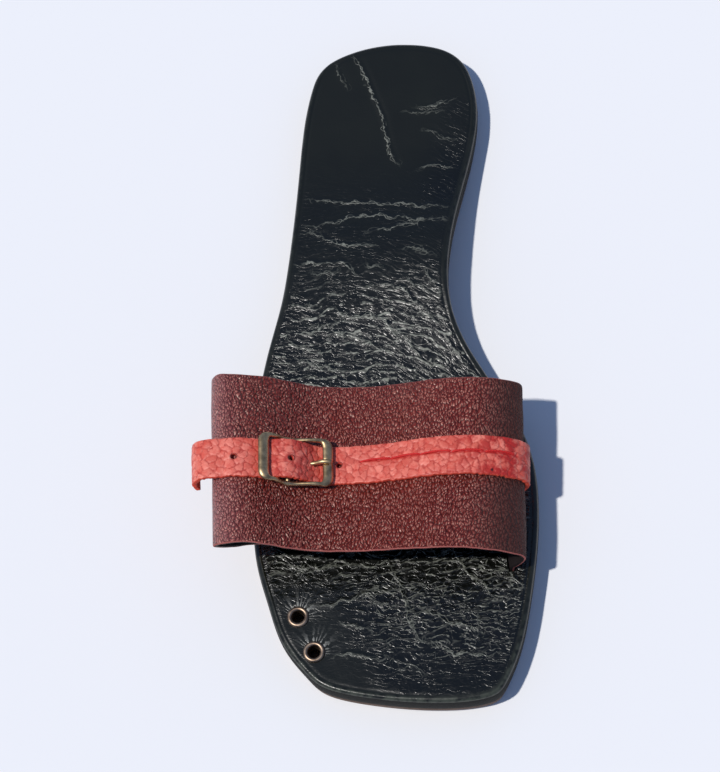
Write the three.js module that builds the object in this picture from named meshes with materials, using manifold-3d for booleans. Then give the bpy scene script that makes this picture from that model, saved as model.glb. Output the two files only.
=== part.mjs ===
import * as THREE from 'three';
import { mergeVertices } from 'three/addons/utils/BufferGeometryUtils.js';
import Module from 'manifold-3d';

// A slide sandal for the right foot, in millimetres. The toe points to -Y, the heel to +Y, the inner
// (big toe) side to +X, and the sole stands on Z = 0.

// Sole
const SOLE_LENGTH = 252;
const HEEL_WIDTH = 63;
const WAIST_WIDTH = 59;
const BALL_WIDTH = 97;
const OUTSOLE_THICKNESS = 3.2;
const OUTSOLE_INSET = 0.5;
const FOOTBED_THICKNESS = 8.5;
const FOOTBED_EDGE_ROUND = 1.6;
const ARCH_LIFT_INNER = 7;
const ARCH_LIFT_OUTER = 2;
const TOE_SPRING = 1.5;

// Band over the forefoot, measured on its outer face
const BAND_WIDTH = 60;
const BAND_WALL = 1.6;
const BAND_RISE = 28.5;
const SLOT_INSET = 6.7;

// Belt strap laid over the band
const STRAP_WIDTH = 13.6;
const STRAP_THICKNESS = 1.6;
const TAIL_REACH = 9.4;
const TAIL_DROP = 10;
const HOLE_DIAMETER = 1.9;
const HOLE_PITCH = 9.3;
const HOLES_TOWARDS_TAIL = 3;
const HOLES_TOWARDS_SLOT = 1;

// Buckle on the strap
const BUCKLE_LENGTH = 26;
const END_BAR_WIDTH = 3.6;
const END_BAR_HEIGHT = 2.2;
const RAIL_WIDTH = 1.4;
const RAIL_HEIGHT = 1.7;
const BUCKLE_CORNER = 2.8;
const CENTRE_BAR_DIAMETER = 1.6;
const CENTRE_BAR_OFFSET = 2;
const PRONG_DIAMETER = 1.5;
const PRONG_EYE_WALL = 0.7;
const PRONG_EYE_WIDTH = 2.2;
const PRONG_OVERHANG = 0.5;
const NOTCH_DEPTH = 0.5;

// Eyelets at the outer side of the toe
const EYELET_DIAMETER = 7.3;
const EYELET_BORE = 4.2;
const EYELET_FLANGE_HEIGHT = 1;
const EYELET_BARREL_WALL = 0.5;
const EYELET_BARREL_DEPTH = 6;

// Clearance between two pieces that meet, and the looser ones of the buckle over and beside its strap
const GAP = 0.3;
const BUCKLE_PLAY = 0.9;
const BUCKLE_SIDE_PLAY = 0.3;

// Fineness of the meshes
const SOLE_STATIONS = 44;
const SOLE_LANES = 6;
const BAND_STEPS = 72;
const BAND_LANES = 4;
const STRAP_STEPS = 76;
const STRAP_LANES = 3;
const BUCKLE_STEPS = 48;
const RING_SIDES = 10;
const EYELET_SIDES = 24;

// Outline of the sole seen from above. along: share of the sole's length from the heel. outer and inner:
// the two edges as shares of the width named in "of", from the line through the heel's middle.
const OUTLINE = [
  { along: 0.0, outer: -0.008, inner: -0.008, of: HEEL_WIDTH },
  { along: 0.012, outer: -0.278, inner: 0.262, of: HEEL_WIDTH },
  { along: 0.032, outer: -0.421, inner: 0.368, of: HEEL_WIDTH },
  { along: 0.071, outer: -0.502, inner: 0.435, of: HEEL_WIDTH },
  { along: 0.127, outer: -0.546, inner: 0.454, of: HEEL_WIDTH },
  { along: 0.238, outer: -0.627, inner: 0.393, of: WAIST_WIDTH },
  { along: 0.357, outer: -0.678, inner: 0.292, of: WAIST_WIDTH },
  { along: 0.421, outer: -0.722, inner: 0.285, of: WAIST_WIDTH },
  { along: 0.476, outer: -0.476, inner: 0.209, of: BALL_WIDTH },
  { along: 0.532, outer: -0.509, inner: 0.287, of: BALL_WIDTH },
  { along: 0.595, outer: -0.53, inner: 0.385, of: BALL_WIDTH },
  { along: 0.659, outer: -0.539, inner: 0.446, of: BALL_WIDTH },
  { along: 0.722, outer: -0.536, inner: 0.461, of: BALL_WIDTH },
  { along: 0.794, outer: -0.524, inner: 0.449, of: BALL_WIDTH },
  { along: 0.853, outer: -0.484, inner: 0.425, of: BALL_WIDTH },
  { along: 0.913, outer: -0.429, inner: 0.392, of: BALL_WIDTH },
  { along: 0.952, outer: -0.354, inner: 0.357, of: BALL_WIDTH },
  { along: 0.978, outer: -0.264, inner: 0.323, of: BALL_WIDTH },
  { along: 0.992, outer: -0.108, inner: 0.284, of: BALL_WIDTH },
  { along: 1.0, outer: 0.134, inner: 0.134, of: BALL_WIDTH },
];

// Stretches of the sole's length, as shares from the heel: the lifted arch and where the toe starts to rise
const ARCH_FROM = 0.17;
const ARCH_TO = 0.59;
const TOE_BREAK = 0.86;

// The band's rear and front edges from the outer slot to the inner slot. across: share of the way from
// slot to slot. up: share of BAND_RISE above the footbed. forward: how far the row lies ahead of the
// band's own line, which starts at BAND_FROM of the sole's length, as a share of BAND_WIDTH.
const BAND_FROM = 0.54;
const BAND_REAR = [
  { place: 'outer mouth', across: 0, up: 0, forward: 0.1 },
  { place: 'outer stem', across: -0.003, up: 0.09, forward: 0.1 },
  { place: 'outer foot', across: -0.075, up: 0.28, forward: 0.11 },
  { place: 'outer side', across: -0.195, up: 0.51, forward: 0.12 },
  { place: 'outer bulge', across: -0.268, up: 0.77, forward: 0.13 },
  { place: 'outer shoulder', across: -0.235, up: 0.965, forward: 0.135 },
  { place: 'outer crest', across: -0.134, up: 0.995, forward: 0.137 },
  { place: 'outer slope', across: 0.032, up: 0.818, forward: 0.14 },
  { place: 'foot of slope', across: 0.177, up: 0.612, forward: 0.145 },
  { place: 'sag', across: 0.308, up: 0.551, forward: 0.15 },
  { place: 'middle', across: 0.53, up: 0.604, forward: 0.16 },
  { place: 'inner slope', across: 0.71, up: 0.75, forward: 0.17 },
  { place: 'inner crest', across: 0.903, up: 0.835, forward: 0.18 },
  { place: 'inner shoulder', across: 1.066, up: 0.765, forward: 0.183 },
  { place: 'inner bulge', across: 1.163, up: 0.54, forward: 0.183 },
  { place: 'inner side', across: 1.11, up: 0.28, forward: 0.183 },
  { place: 'inner stem', across: 1.003, up: 0.09, forward: 0.183 },
  { place: 'inner mouth', across: 1, up: 0, forward: 0.183 },
];
const BAND_FRONT = [
  { place: 'outer mouth', across: 0, up: 0, forward: 0 },
  { place: 'outer stem', across: -0.003, up: 0.09, forward: 0 },
  { place: 'outer foot', across: -0.06, up: 0.28, forward: 0.03 },
  { place: 'outer side', across: -0.155, up: 0.51, forward: 0.08 },
  { place: 'outer bulge', across: -0.216, up: 0.77, forward: 0.12 },
  { place: 'outer shoulder', across: -0.186, up: 0.965, forward: 0.135 },
  { place: 'outer crest', across: -0.077, up: 1.015, forward: 0.137 },
  { place: 'outer slope', across: 0.029, up: 0.877, forward: 0.14 },
  { place: 'foot of slope', across: 0.153, up: 0.715, forward: 0.145 },
  { place: 'sag', across: 0.278, up: 0.67, forward: 0.15 },
  { place: 'middle', across: 0.478, up: 0.716, forward: 0.16 },
  { place: 'inner slope', across: 0.622, up: 0.81, forward: 0.17 },
  { place: 'inner crest', across: 0.765, up: 0.839, forward: 0.18 },
  { place: 'inner shoulder', across: 0.925, up: 0.715, forward: 0.183 },
  { place: 'inner bulge', across: 1.042, up: 0.45, forward: 0.183 },
  { place: 'inner side', across: 1.035, up: 0.23, forward: 0.183 },
  { place: 'inner stem', across: 1.003, up: 0.08, forward: 0.183 },
  { place: 'inner mouth', across: 1, up: 0, forward: 0.183 },
];

// The strap's middle line, as a share of BAND_WIDTH ahead of the outer slot's rear end
const STRAP_FORWARD = 0.65;
// Places along the band's section, as shares of its length from the outer tab's end
const BUCKLE_AT = 0.395;
const TAIL_LEAVES_AT = 0.262;
// How far past its end bars the buckle holds the strap off the band
const BRIDGE_PAST_BARS = 1.3;

// The strap's free tail. out: share of TAIL_REACH. down: share of TAIL_DROP.
const TAIL = [
  { out: 0.42, down: 0.01 },
  { out: 0.78, down: 0.14 },
  { out: 1.0, down: 0.5 },
  { out: 0.94, down: 1.0 },
];

// The prong from its eye to its tip. reach: share of the way from the centre bar to the far end bar.
// rise: share of the way up from the centre bar's middle to where the prong rests in its notch.
const PRONG_PATH = [
  { reach: 0.3, rise: -0.06 },
  { reach: 0.52, rise: 0.06 },
  { reach: 0.7, rise: 0.36 },
  { reach: 0.84, rise: 0.82 },
  { reach: 1.0, rise: 1.0 },
];

// Where the prong comes up through the strap, as a share of the way from the centre bar to the far end bar
const PRONG_HOLE_AT = 0.7;

// Places of the eyelets. along: share of SOLE_LENGTH from the heel. across: share of BALL_WIDTH.
const EYELETS = [
  { name: 'eyelet_rear', along: 0.877, across: -0.376 },
  { name: 'eyelet_front', along: 0.926, across: -0.321 },
];

// An eyelet's flange from its rim to its bore. out: share of the way from bore to rim. up: share of
// EYELET_FLANGE_HEIGHT.
const EYELET_FLANGE = [
  { out: 0.85, up: 0 },
  { out: 1.0, up: 0.3 },
  { out: 0.75, up: 0.85 },
  { out: 0.45, up: 1.0 },
  { out: 0.12, up: 0.65 },
];

const { lerp, clamp } = THREE.MathUtils;
const wasm = await Module();
wasm.setup();

// Turns points and triangles into a closed geometry that faces outwards
function closedGeometry(points, triangles) {
  const kept = triangles.filter(([a, b, c]) => a !== b && b !== c && c !== a);
  const volume = kept.reduce((sum, [a, b, c]) => {
    return sum + points[a].dot(new THREE.Vector3().crossVectors(points[b], points[c]));
  }, 0);
  const outward = volume > 0 ? kept : kept.map(([a, b, c]) => [a, c, b]);
  const geometry = new THREE.BufferGeometry().setFromPoints(points);
  geometry.setIndex(outward.flat());
  return geometry;
}

// Reads a closed geometry into a solid that can be joined and cut
function toSolid(geometry) {
  const bare = geometry.clone();
  bare.deleteAttribute('normal');
  bare.deleteAttribute('uv');
  const merged = mergeVertices(bare);
  const mesh = new wasm.Mesh({
    numProp: 3,
    vertProperties: Float32Array.from(merged.attributes.position.array),
    triVerts: Uint32Array.from(merged.index.array),
  });
  return new wasm.Manifold(mesh);
}

// Gives a solid back as a geometry
function fromSolid(solid) {
  const mesh = solid.getMesh();
  const geometry = new THREE.BufferGeometry();
  geometry.setAttribute('position', new THREE.BufferAttribute(mesh.vertProperties, mesh.numProp));
  geometry.setIndex(new THREE.BufferAttribute(mesh.triVerts, 1));
  return geometry;
}

// Closes a sheet between two grids of points, one for each face
function sheet(front, back) {
  const rows = front.length;
  const columns = front[0].length;
  const points = [...front.flat(), ...back.flat()];
  const at = (side, i, j) => side * rows * columns + i * columns + j;
  const triangles = [];
  const quad = (a, b, c, d) => triangles.push([a, b, c], [a, c, d]);
  for (let i = 0; i < rows - 1; i += 1) {
    for (let j = 0; j < columns - 1; j += 1) {
      quad(at(0, i, j), at(0, i, j + 1), at(0, i + 1, j + 1), at(0, i + 1, j));
      quad(at(1, i, j), at(1, i + 1, j), at(1, i + 1, j + 1), at(1, i, j + 1));
    }
    quad(at(0, i, 0), at(0, i + 1, 0), at(1, i + 1, 0), at(1, i, 0));
    quad(at(0, i + 1, columns - 1), at(0, i, columns - 1), at(1, i, columns - 1), at(1, i + 1, columns - 1));
  }
  for (let j = 0; j < columns - 1; j += 1) {
    quad(at(0, 0, j + 1), at(0, 0, j), at(1, 0, j), at(1, 0, j + 1));
    quad(at(0, rows - 1, j), at(0, rows - 1, j + 1), at(1, rows - 1, j + 1), at(1, rows - 1, j));
  }
  return closedGeometry(points, triangles);
}

// The sole's outline: the two edges at a share of the length, smooth round both tips
const outlineAngle = (along) => Math.acos(1 - 2 * clamp(along, 0, 1));
const outlineCurve = new THREE.CubicInterpolant(
  OUTLINE.map((row) => outlineAngle(row.along)),
  OUTLINE.flatMap((row) => [row.outer * row.of, row.inner * row.of]),
  2,
);

function edgesAt(along) {
  const [outer, inner] = outlineCurve.evaluate(outlineAngle(along));
  return { outer, inner };
}

// A point of the outline, moved square inwards by inset
function rimPoint(angle, side, inset) {
  const along = (a) => (1 - Math.cos(a)) / 2;
  const spot = (a) => new THREE.Vector2(edgesAt(along(a))[side], -SOLE_LENGTH * along(a));
  const step = 0.01;
  const point = spot(angle);
  if (angle < step) return point.add(new THREE.Vector2(0, -inset));
  if (angle > Math.PI - step) return point.add(new THREE.Vector2(0, inset));
  const tangent = spot(angle + step).sub(spot(angle - step)).normalize();
  const inwards = side === 'outer' ? 1 : -1;
  return point.add(new THREE.Vector2(-tangent.y, tangent.x).multiplyScalar(inwards * inset));
}

// How far the underside of the sole is off the floor: the arch, higher inside, and the toe spring
function lift(x, y) {
  const along = clamp(-y / SOLE_LENGTH, 0, 1);
  const { outer, inner } = edgesAt(along);
  const sideways = inner > outer ? clamp((x - outer) / (inner - outer), 0, 1) : 0;
  const archShare = clamp((along - ARCH_FROM) / (ARCH_TO - ARCH_FROM), 0, 1);
  const arch = Math.sin(Math.PI * archShare) ** 2 * lerp(ARCH_LIFT_OUTER, ARCH_LIFT_INNER, sideways);
  const toe = TOE_SPRING * (Math.max(0, along - TOE_BREAK) / (1 - TOE_BREAK)) ** 2;
  return arch + toe;
}

const FOOTBED_BASE = OUTSOLE_THICKNESS + GAP;
const FOOTBED_TOP = FOOTBED_BASE + FOOTBED_THICKNESS;
const footbedTop = (x, y) => lift(x, y) + FOOTBED_TOP;

// The footbed's rounded edge. from: the face measured from. inset and up: shares of FOOTBED_EDGE_ROUND.
const FOOTBED_EDGE = [
  { from: FOOTBED_BASE, inset: 0.6, up: 0 },
  { from: FOOTBED_BASE, inset: 0, up: 1 },
  { from: FOOTBED_TOP, inset: 0, up: -1 },
  { from: FOOTBED_TOP, inset: 0.3, up: -0.3 },
  { from: FOOTBED_TOP, inset: 1, up: 0 },
];

// A layer of the sole, built from its rims. Each level has an inset from the outline and a height.
function soleLayer(levels) {
  const points = [];
  const triangles = [];
  const add = ({ x, y }, height) => points.push(new THREE.Vector3(x, y, lift(x, y) + height)) - 1;
  const angleAt = (station) => (Math.PI * station) / SOLE_STATIONS;
  const rims = levels.map(({ inset, height }) => {
    const rim = { outer: [], inner: [] };
    for (let station = 0; station <= SOLE_STATIONS; station += 1) {
      rim.outer.push(add(rimPoint(angleAt(station), 'outer', inset), height));
      const isTip = station === 0 || station === SOLE_STATIONS;
      rim.inner.push(isTip ? rim.outer[station] : add(rimPoint(angleAt(station), 'inner', inset), height));
    }
    return rim;
  });
  const quad = (a, b, c, d) => triangles.push([a, b, c], [a, c, d]);
  for (let level = 0; level < levels.length - 1; level += 1) {
    const low = rims[level];
    const high = rims[level + 1];
    for (let station = 0; station < SOLE_STATIONS; station += 1) {
      const next = station + 1;
      quad(low.outer[station], low.outer[next], high.outer[next], high.outer[station]);
      quad(low.inner[next], low.inner[station], high.inner[station], high.inner[next]);
    }
  }
  const cover = (level, facesUp) => {
    const rim = rims[level];
    const rows = rim.outer.map((first, station) => {
      const last = rim.inner[station];
      const row = [first];
      for (let lane = 1; lane < SOLE_LANES; lane += 1) {
        const spot = points[first].clone().lerp(points[last], lane / SOLE_LANES);
        row.push(first === last ? first : add(spot, levels[level].height));
      }
      return [...row, last];
    });
    for (let station = 0; station < SOLE_STATIONS; station += 1) {
      for (let lane = 0; lane < SOLE_LANES; lane += 1) {
        const [a, b] = [rows[station][lane], rows[station + 1][lane]];
        const [c, d] = [rows[station + 1][lane + 1], rows[station][lane + 1]];
        if (facesUp) quad(a, b, c, d);
        else quad(a, d, c, b);
      }
    }
  };
  cover(0, false);
  cover(levels.length - 1, true);
  return closedGeometry(points, triangles);
}

// The band's two edges, each a table of rows and how many band widths it lies ahead of the band's line
const bandLine = (forward) => BAND_FROM * SOLE_LENGTH + forward * BAND_WIDTH;
const bandEdges = {
  rear: { rows: BAND_REAR, ahead: 0 },
  front: { rows: BAND_FRONT, ahead: 1 },
};

// The band's slots through the footbed: straight lines SLOT_INSET inside the sole's edge
function slotEnd({ rows, ahead }, side) {
  const row = side === 'outer' ? rows[0] : rows[rows.length - 1];
  const along = bandLine(row.forward + ahead);
  const inset = side === 'outer' ? SLOT_INSET : -SLOT_INSET;
  return new THREE.Vector2(edgesAt(along / SOLE_LENGTH)[side] + inset, -along);
}
const slots = {
  outer: { rear: slotEnd(bandEdges.rear, 'outer'), front: slotEnd(bandEdges.front, 'outer') },
  inner: { rear: slotEnd(bandEdges.rear, 'inner'), front: slotEnd(bandEdges.front, 'inner') },
};

// One edge of the band as a curve from tab end to tab end
function bandEdge({ rows, ahead }, from, to) {
  const points = rows.map(({ across, up, forward }) => {
    const base = lerp(footbedTop(from.x, from.y), footbedTop(to.x, to.y), clamp(across, 0, 1));
    return new THREE.Vector3(lerp(from.x, to.x, across), -bandLine(forward + ahead), base + up * BAND_RISE);
  });
  const tab = (mouth) => mouth.clone().setZ(mouth.z - FOOTBED_THICKNESS);
  return new THREE.CatmullRomCurve3([tab(points[0]), ...points, tab(points[points.length - 1])]);
}
const rearEdge = bandEdge(bandEdges.rear, slots.outer.rear, slots.inner.rear);
const frontEdge = bandEdge(bandEdges.front, slots.outer.front, slots.inner.front);

// A point of the band's outer face. u runs from tab end to tab end, t from the rear edge to the front.
const bandPoint = (u, t) => rearEdge.getPoint(u).lerp(frontEdge.getPoint(u), t);
function bandNormal(u, t) {
  const step = 0.002;
  const along = bandPoint(Math.min(1, u + step), t).sub(bandPoint(Math.max(0, u - step), t));
  const forward = bandPoint(u, 1).sub(bandPoint(u, 0));
  return forward.cross(along).normalize();
}

function band() {
  const outerFace = [];
  const innerFace = [];
  for (let i = 0; i <= BAND_STEPS; i += 1) {
    const u = i / BAND_STEPS;
    const lanes = Array.from({ length: BAND_LANES + 1 }, (_, j) => j / BAND_LANES);
    const outer = lanes.map((t) => bandPoint(u, t));
    outerFace.push(outer);
    const normals = lanes.map((t) => bandNormal(u, t));
    innerFace.push(outer.map((point, j) => point.clone().addScaledVector(normals[j], -BAND_WALL)));
  }
  return sheet(outerFace, innerFace);
}

// The strap's line on the band: a curve along the band's outer face under the strap's middle
const strapLane = (side) => STRAP_FORWARD + (side * STRAP_WIDTH) / 2 / BAND_WIDTH;
function laneOnBand(u, side) {
  const rear = rearEdge.getPoint(u);
  const front = frontEdge.getPoint(u);
  return (-bandLine(strapLane(side)) - rear.y) / (front.y - rear.y);
}
const spinePoints = Array.from({ length: 2 * BAND_STEPS + 1 }, (_, i) => {
  const u = i / (2 * BAND_STEPS);
  return bandPoint(u, laneOnBand(u, 0));
});
const spine = new THREE.CatmullRomCurve3(spinePoints);
spine.arcLengthDivisions = 8 * BAND_STEPS;
const spineLength = spine.getLength();
const spineShare = (distance) => spine.getUtoTmapping(clamp(distance / spineLength, 0, 1));
const buckleDistance = BUCKLE_AT * spineLength;
const barDistance = buckleDistance - CENTRE_BAR_OFFSET;
const prongEyeRadius = CENTRE_BAR_DIAMETER / 2 + GAP + PRONG_EYE_WALL;

// How high the strap's underside is above the band: it rides over the buckle's centre bar
function strapHeight(distance) {
  const side = distance > barDistance ? CENTRE_BAR_OFFSET : -CENTRE_BAR_OFFSET;
  const reach = BUCKLE_LENGTH / 2 - END_BAR_WIDTH / 2 + side + BRIDGE_PAST_BARS;
  const away = Math.min(1, Math.abs(distance - barDistance) / reach);
  return GAP + (2 * prongEyeRadius + GAP) * Math.cos((away * Math.PI) / 2) ** 2;
}

// One line along the strap's underside, from its end in the inner slot to the end of its free tail
function strapLine(side) {
  const leave = TAIL_LEAVES_AT * spineLength;
  const points = [];
  for (let i = 0; i <= BAND_STEPS; i += 1) {
    const distance = lerp(spineLength, leave, i / BAND_STEPS);
    const u = spineShare(distance);
    const t = laneOnBand(u, side);
    points.push(bandPoint(u, t).addScaledVector(bandNormal(u, t), strapHeight(distance)));
  }
  const start = points[points.length - 1];
  TAIL.forEach(({ out, down }) => {
    points.push(start.clone().add(new THREE.Vector3(-out * TAIL_REACH, 0, -down * TAIL_DROP)));
  });
  const line = new THREE.CatmullRomCurve3(points);
  line.arcLengthDivisions = 8 * BAND_STEPS;
  return line;
}
const strapMiddle = strapLine(0);
const strapLength = strapMiddle.getLength();

// Middle of the strap's underside at a distance from its slot end, with the direction up through it
function strapFrame(distance) {
  const share = clamp(distance / strapLength, 0, 1);
  const up = strapMiddle.getTangentAt(share).cross(new THREE.Vector3(0, -1, 0)).normalize();
  return { point: strapMiddle.getPointAt(share), up };
}

function strapSheet() {
  const sides = Array.from({ length: STRAP_LANES + 1 }, (_, j) => lerp(-1, 1, j / STRAP_LANES));
  const lines = sides.map(strapLine);
  const under = [];
  for (let i = 0; i <= STRAP_STEPS; i += 1) {
    const t = strapMiddle.getUtoTmapping(i / STRAP_STEPS);
    under.push(lines.map((line) => line.getPoint(t)));
  }
  const over = under.map((row, i) => {
    const before = under[Math.max(0, i - 1)];
    const after = under[Math.min(STRAP_STEPS, i + 1)];
    const across = row[STRAP_LANES].clone().sub(row[0]);
    return row.map((point, j) => {
      const up = after[j].clone().sub(before[j]).cross(across).normalize();
      return point.clone().addScaledVector(up, STRAP_THICKNESS);
    });
  });
  return sheet(over, under);
}

// The buckle's own frame: X along the strap to the inner side, Y across it to the rear, Z off the band
const bandUnderStrap = (distance) => {
  const u = spineShare(distance);
  return bandPoint(u, laneOnBand(u, 0));
};
const endReach = (BUCKLE_LENGTH - END_BAR_WIDTH) / 2;
const [outerSeat, innerSeat] = [-1, 1].map((end) => bandUnderStrap(buckleDistance + end * endReach));
const buckleX = innerSeat.clone().sub(outerSeat).normalize();
const buckleU = spineShare(buckleDistance);
const rearwards = bandPoint(buckleU, 0).sub(bandPoint(buckleU, 1));
const buckleZ = buckleX.clone().cross(rearwards).normalize();
const buckleY = buckleZ.clone().cross(buckleX);
const buckleFrame = new THREE.Matrix4().makeBasis(buckleX, buckleY, buckleZ);
buckleFrame.setPosition(outerSeat.clone().lerp(innerSeat, 0.5));

// Heights in the buckle's frame: the two end bars over the strap, the centre bar under it
const strapAtEnds = Math.max(...[-1, 1].map((end) => strapHeight(buckleDistance + end * endReach)));
const endHeight = strapAtEnds + STRAP_THICKNESS + BUCKLE_PLAY + END_BAR_HEIGHT / 2;
const bandUnderBar = bandUnderStrap(barDistance).applyMatrix4(buckleFrame.clone().invert());
const centreBar = new THREE.Vector3(bandUnderBar.x, 0, bandUnderBar.z + GAP + prongEyeRadius);
const railReach = STRAP_WIDTH / 2 + BUCKLE_SIDE_PLAY + RAIL_WIDTH / 2;

// The ring of the buckle: wide end bars, and thin rails that dip to the centre bar
function buckleRing() {
  const corner = Math.min(BUCKLE_CORNER, railReach, endReach);
  const path = new THREE.Path();
  path.moveTo(endReach, corner - railReach);
  path.lineTo(endReach, railReach - corner);
  path.absarc(endReach - corner, railReach - corner, corner, 0, Math.PI / 2);
  path.lineTo(corner - endReach, railReach);
  path.absarc(corner - endReach, railReach - corner, corner, Math.PI / 2, Math.PI);
  path.lineTo(-endReach, corner - railReach);
  path.absarc(corner - endReach, corner - railReach, corner, Math.PI, 1.5 * Math.PI);
  path.lineTo(endReach - corner, -railReach);
  path.absarc(endReach - corner, corner - railReach, corner, 1.5 * Math.PI, 2 * Math.PI);
  const points = [];
  for (let i = 0; i < BUCKLE_STEPS; i += 1) {
    const spot = path.getPointAt(i / BUCKLE_STEPS);
    const tangent = path.getTangentAt(i / BUCKLE_STEPS);
    const bar = THREE.MathUtils.smoothstep(Math.abs(spot.x), endReach - corner, endReach);
    const width = lerp(RAIL_WIDTH, END_BAR_WIDTH, bar) / 2;
    const height = lerp(RAIL_HEIGHT, END_BAR_HEIGHT, bar) / 2;
    const straight = endReach - corner + Math.sign(centreBar.x - spot.x) * centreBar.x;
    const away = Math.abs(spot.x - centreBar.x) / straight;
    const middle = lerp(endHeight, centreBar.z, Math.cos((Math.min(1, away) * Math.PI) / 2) ** 2);
    for (let side = 0; side < RING_SIDES; side += 1) {
      const angle = (2 * Math.PI * side) / RING_SIDES;
      const out = Math.cos(angle) * width;
      points.push(new THREE.Vector3(
        spot.x + tangent.y * out,
        spot.y - tangent.x * out,
        middle + Math.sin(angle) * height,
      ));
    }
  }
  const at = (i, side) => (i % BUCKLE_STEPS) * RING_SIDES + (side % RING_SIDES);
  const triangles = [];
  for (let i = 0; i < BUCKLE_STEPS; i += 1) {
    for (let side = 0; side < RING_SIDES; side += 1) {
      triangles.push([at(i, side), at(i + 1, side), at(i + 1, side + 1)]);
      triangles.push([at(i, side), at(i + 1, side + 1), at(i, side + 1)]);
    }
  }
  return closedGeometry(points, triangles);
}

// The prong's shank, from its eye on the centre bar through the strap to its notch in the far end bar
function prongShank(radius, overhang) {
  const notchHeight = endHeight + END_BAR_HEIGHT / 2 - NOTCH_DEPTH + GAP + PRONG_DIAMETER / 2;
  const place = (reach, rise) => {
    return new THREE.Vector3(lerp(centreBar.x, endReach, reach), 0, lerp(centreBar.z, notchHeight, rise));
  };
  const start = centreBar.clone().setX(centreBar.x + prongEyeRadius - PRONG_EYE_WALL / 2);
  const bends = PRONG_PATH.map(({ reach, rise }) => place(reach, rise));
  const tip = place(1, 1).setX(endReach + overhang);
  const path = new THREE.CatmullRomCurve3([start, ...bends, tip]);
  const section = new THREE.Shape().absarc(0, 0, radius, 0, 2 * Math.PI);
  return new THREE.ExtrudeGeometry(section, {
    steps: 4 * PRONG_PATH.length,
    curveSegments: RING_SIDES,
    bevelEnabled: false,
    extrudePath: path,
  });
}

function prongEye() {
  const bore = CENTRE_BAR_DIAMETER / 2 + GAP;
  const half = PRONG_EYE_WIDTH / 2;
  const rim = prongEyeRadius;
  const profile = [[bore, -half], [rim, -half], [rim, half], [bore, half], [bore, -half]];
  const eye = new THREE.LatheGeometry(profile.map(([r, y]) => new THREE.Vector2(r, y)), 2 * RING_SIDES);
  return eye.translate(centreBar.x, 0, centreBar.z);
}

// The cuts that the prong needs around it, in the buckle's frame
const prongRoom = () => prongShank(PRONG_DIAMETER / 2 + GAP, PRONG_OVERHANG + GAP);

function buckleFrameSolid() {
  const radius = CENTRE_BAR_DIAMETER / 2;
  const bar = new THREE.CylinderGeometry(radius, radius, 2 * railReach, RING_SIDES);
  bar.translate(centreBar.x, 0, centreBar.z);
  return toSolid(buckleRing()).add(toSolid(bar)).subtract(toSolid(prongRoom()));
}

function prongSolid() {
  const shank = prongShank(PRONG_DIAMETER / 2, PRONG_OVERHANG);
  return toSolid(shank).add(toSolid(prongEye()));
}

// The strap with the prong's hole and the row of punched holes on both sides of it
function strapSolid() {
  let solid = toSolid(strapSheet()).subtract(toSolid(prongRoom().applyMatrix4(buckleFrame)));
  const crossing = new THREE.Vector3(lerp(centreBar.x, endReach, PRONG_HOLE_AT), 0, STRAP_THICKNESS);
  crossing.applyMatrix4(buckleFrame);
  const steps = Array.from({ length: 8 * STRAP_STEPS }, (_, i) => (i / (8 * STRAP_STEPS)) * strapLength);
  const nearness = (distance) => strapFrame(distance).point.distanceTo(crossing);
  const radius = HOLE_DIAMETER / 2;
  const prongHole = steps.reduce((best, distance) => (nearness(distance) < nearness(best) ? distance : best));
  for (let hole = -HOLES_TOWARDS_SLOT; hole <= HOLES_TOWARDS_TAIL; hole += 1) {
    if (hole !== 0) {
      const { point, up } = strapFrame(prongHole + hole * HOLE_PITCH);
      const punch = new THREE.CylinderGeometry(radius, radius, 4 * STRAP_THICKNESS, RING_SIDES);
      punch.applyQuaternion(new THREE.Quaternion().setFromUnitVectors(new THREE.Vector3(0, 1, 0), up));
      punch.translate(point.x, point.y, point.z);
      solid = solid.subtract(toSolid(punch));
    }
  }
  return solid;
}

// An upright cutter along a line from its rear to its front end, with room towards +X and towards -X
function slotCutter(rear, front, roomInside, roomOutside) {
  const direction = rear.clone().sub(front).normalize();
  const length = rear.distanceTo(front) + 2 * GAP;
  const box = new THREE.BoxGeometry(roomInside + roomOutside, length, 4 * FOOTBED_TOP);
  box.translate((roomInside - roomOutside) / 2, 0, 0);
  box.rotateZ(Math.atan2(-direction.x, direction.y));
  const middle = rear.clone().lerp(front, 0.5);
  return toSolid(box.translate(middle.x, middle.y, 0));
}

const eyeletPlaces = EYELETS.map(({ name, along, across }) => {
  const x = across * BALL_WIDTH;
  const y = -along * SOLE_LENGTH;
  return { name, x, y, z: footbedTop(x, y) };
});

// The footbed, cut for the band's two tabs, the strap's end beside the inner tab, and the eyelets
function footbedSolid() {
  const levels = FOOTBED_EDGE.map(({ from, inset, up }) => {
    return { inset: inset * FOOTBED_EDGE_ROUND, height: from + up * FOOTBED_EDGE_ROUND };
  });
  const { outer, inner } = slots;
  const strapEdge = (side) => inner.rear.clone().lerp(inner.front, laneOnBand(1, side));
  let solid = toSolid(soleLayer(levels))
    .subtract(slotCutter(outer.rear, outer.front, BAND_WALL + GAP, GAP))
    .subtract(slotCutter(inner.rear, inner.front, GAP, BAND_WALL + GAP))
    .subtract(slotCutter(strapEdge(-1), strapEdge(1), 2 * GAP + STRAP_THICKNESS, GAP));
  eyeletPlaces.forEach(({ x, y, z }) => {
    const radius = EYELET_BORE / 2 + EYELET_BARREL_WALL + GAP;
    const drill = new THREE.CylinderGeometry(radius, radius, 4 * FOOTBED_THICKNESS, EYELET_SIDES);
    solid = solid.subtract(toSolid(drill.rotateX(Math.PI / 2).translate(x, y, z)));
  });
  return solid;
}

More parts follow.
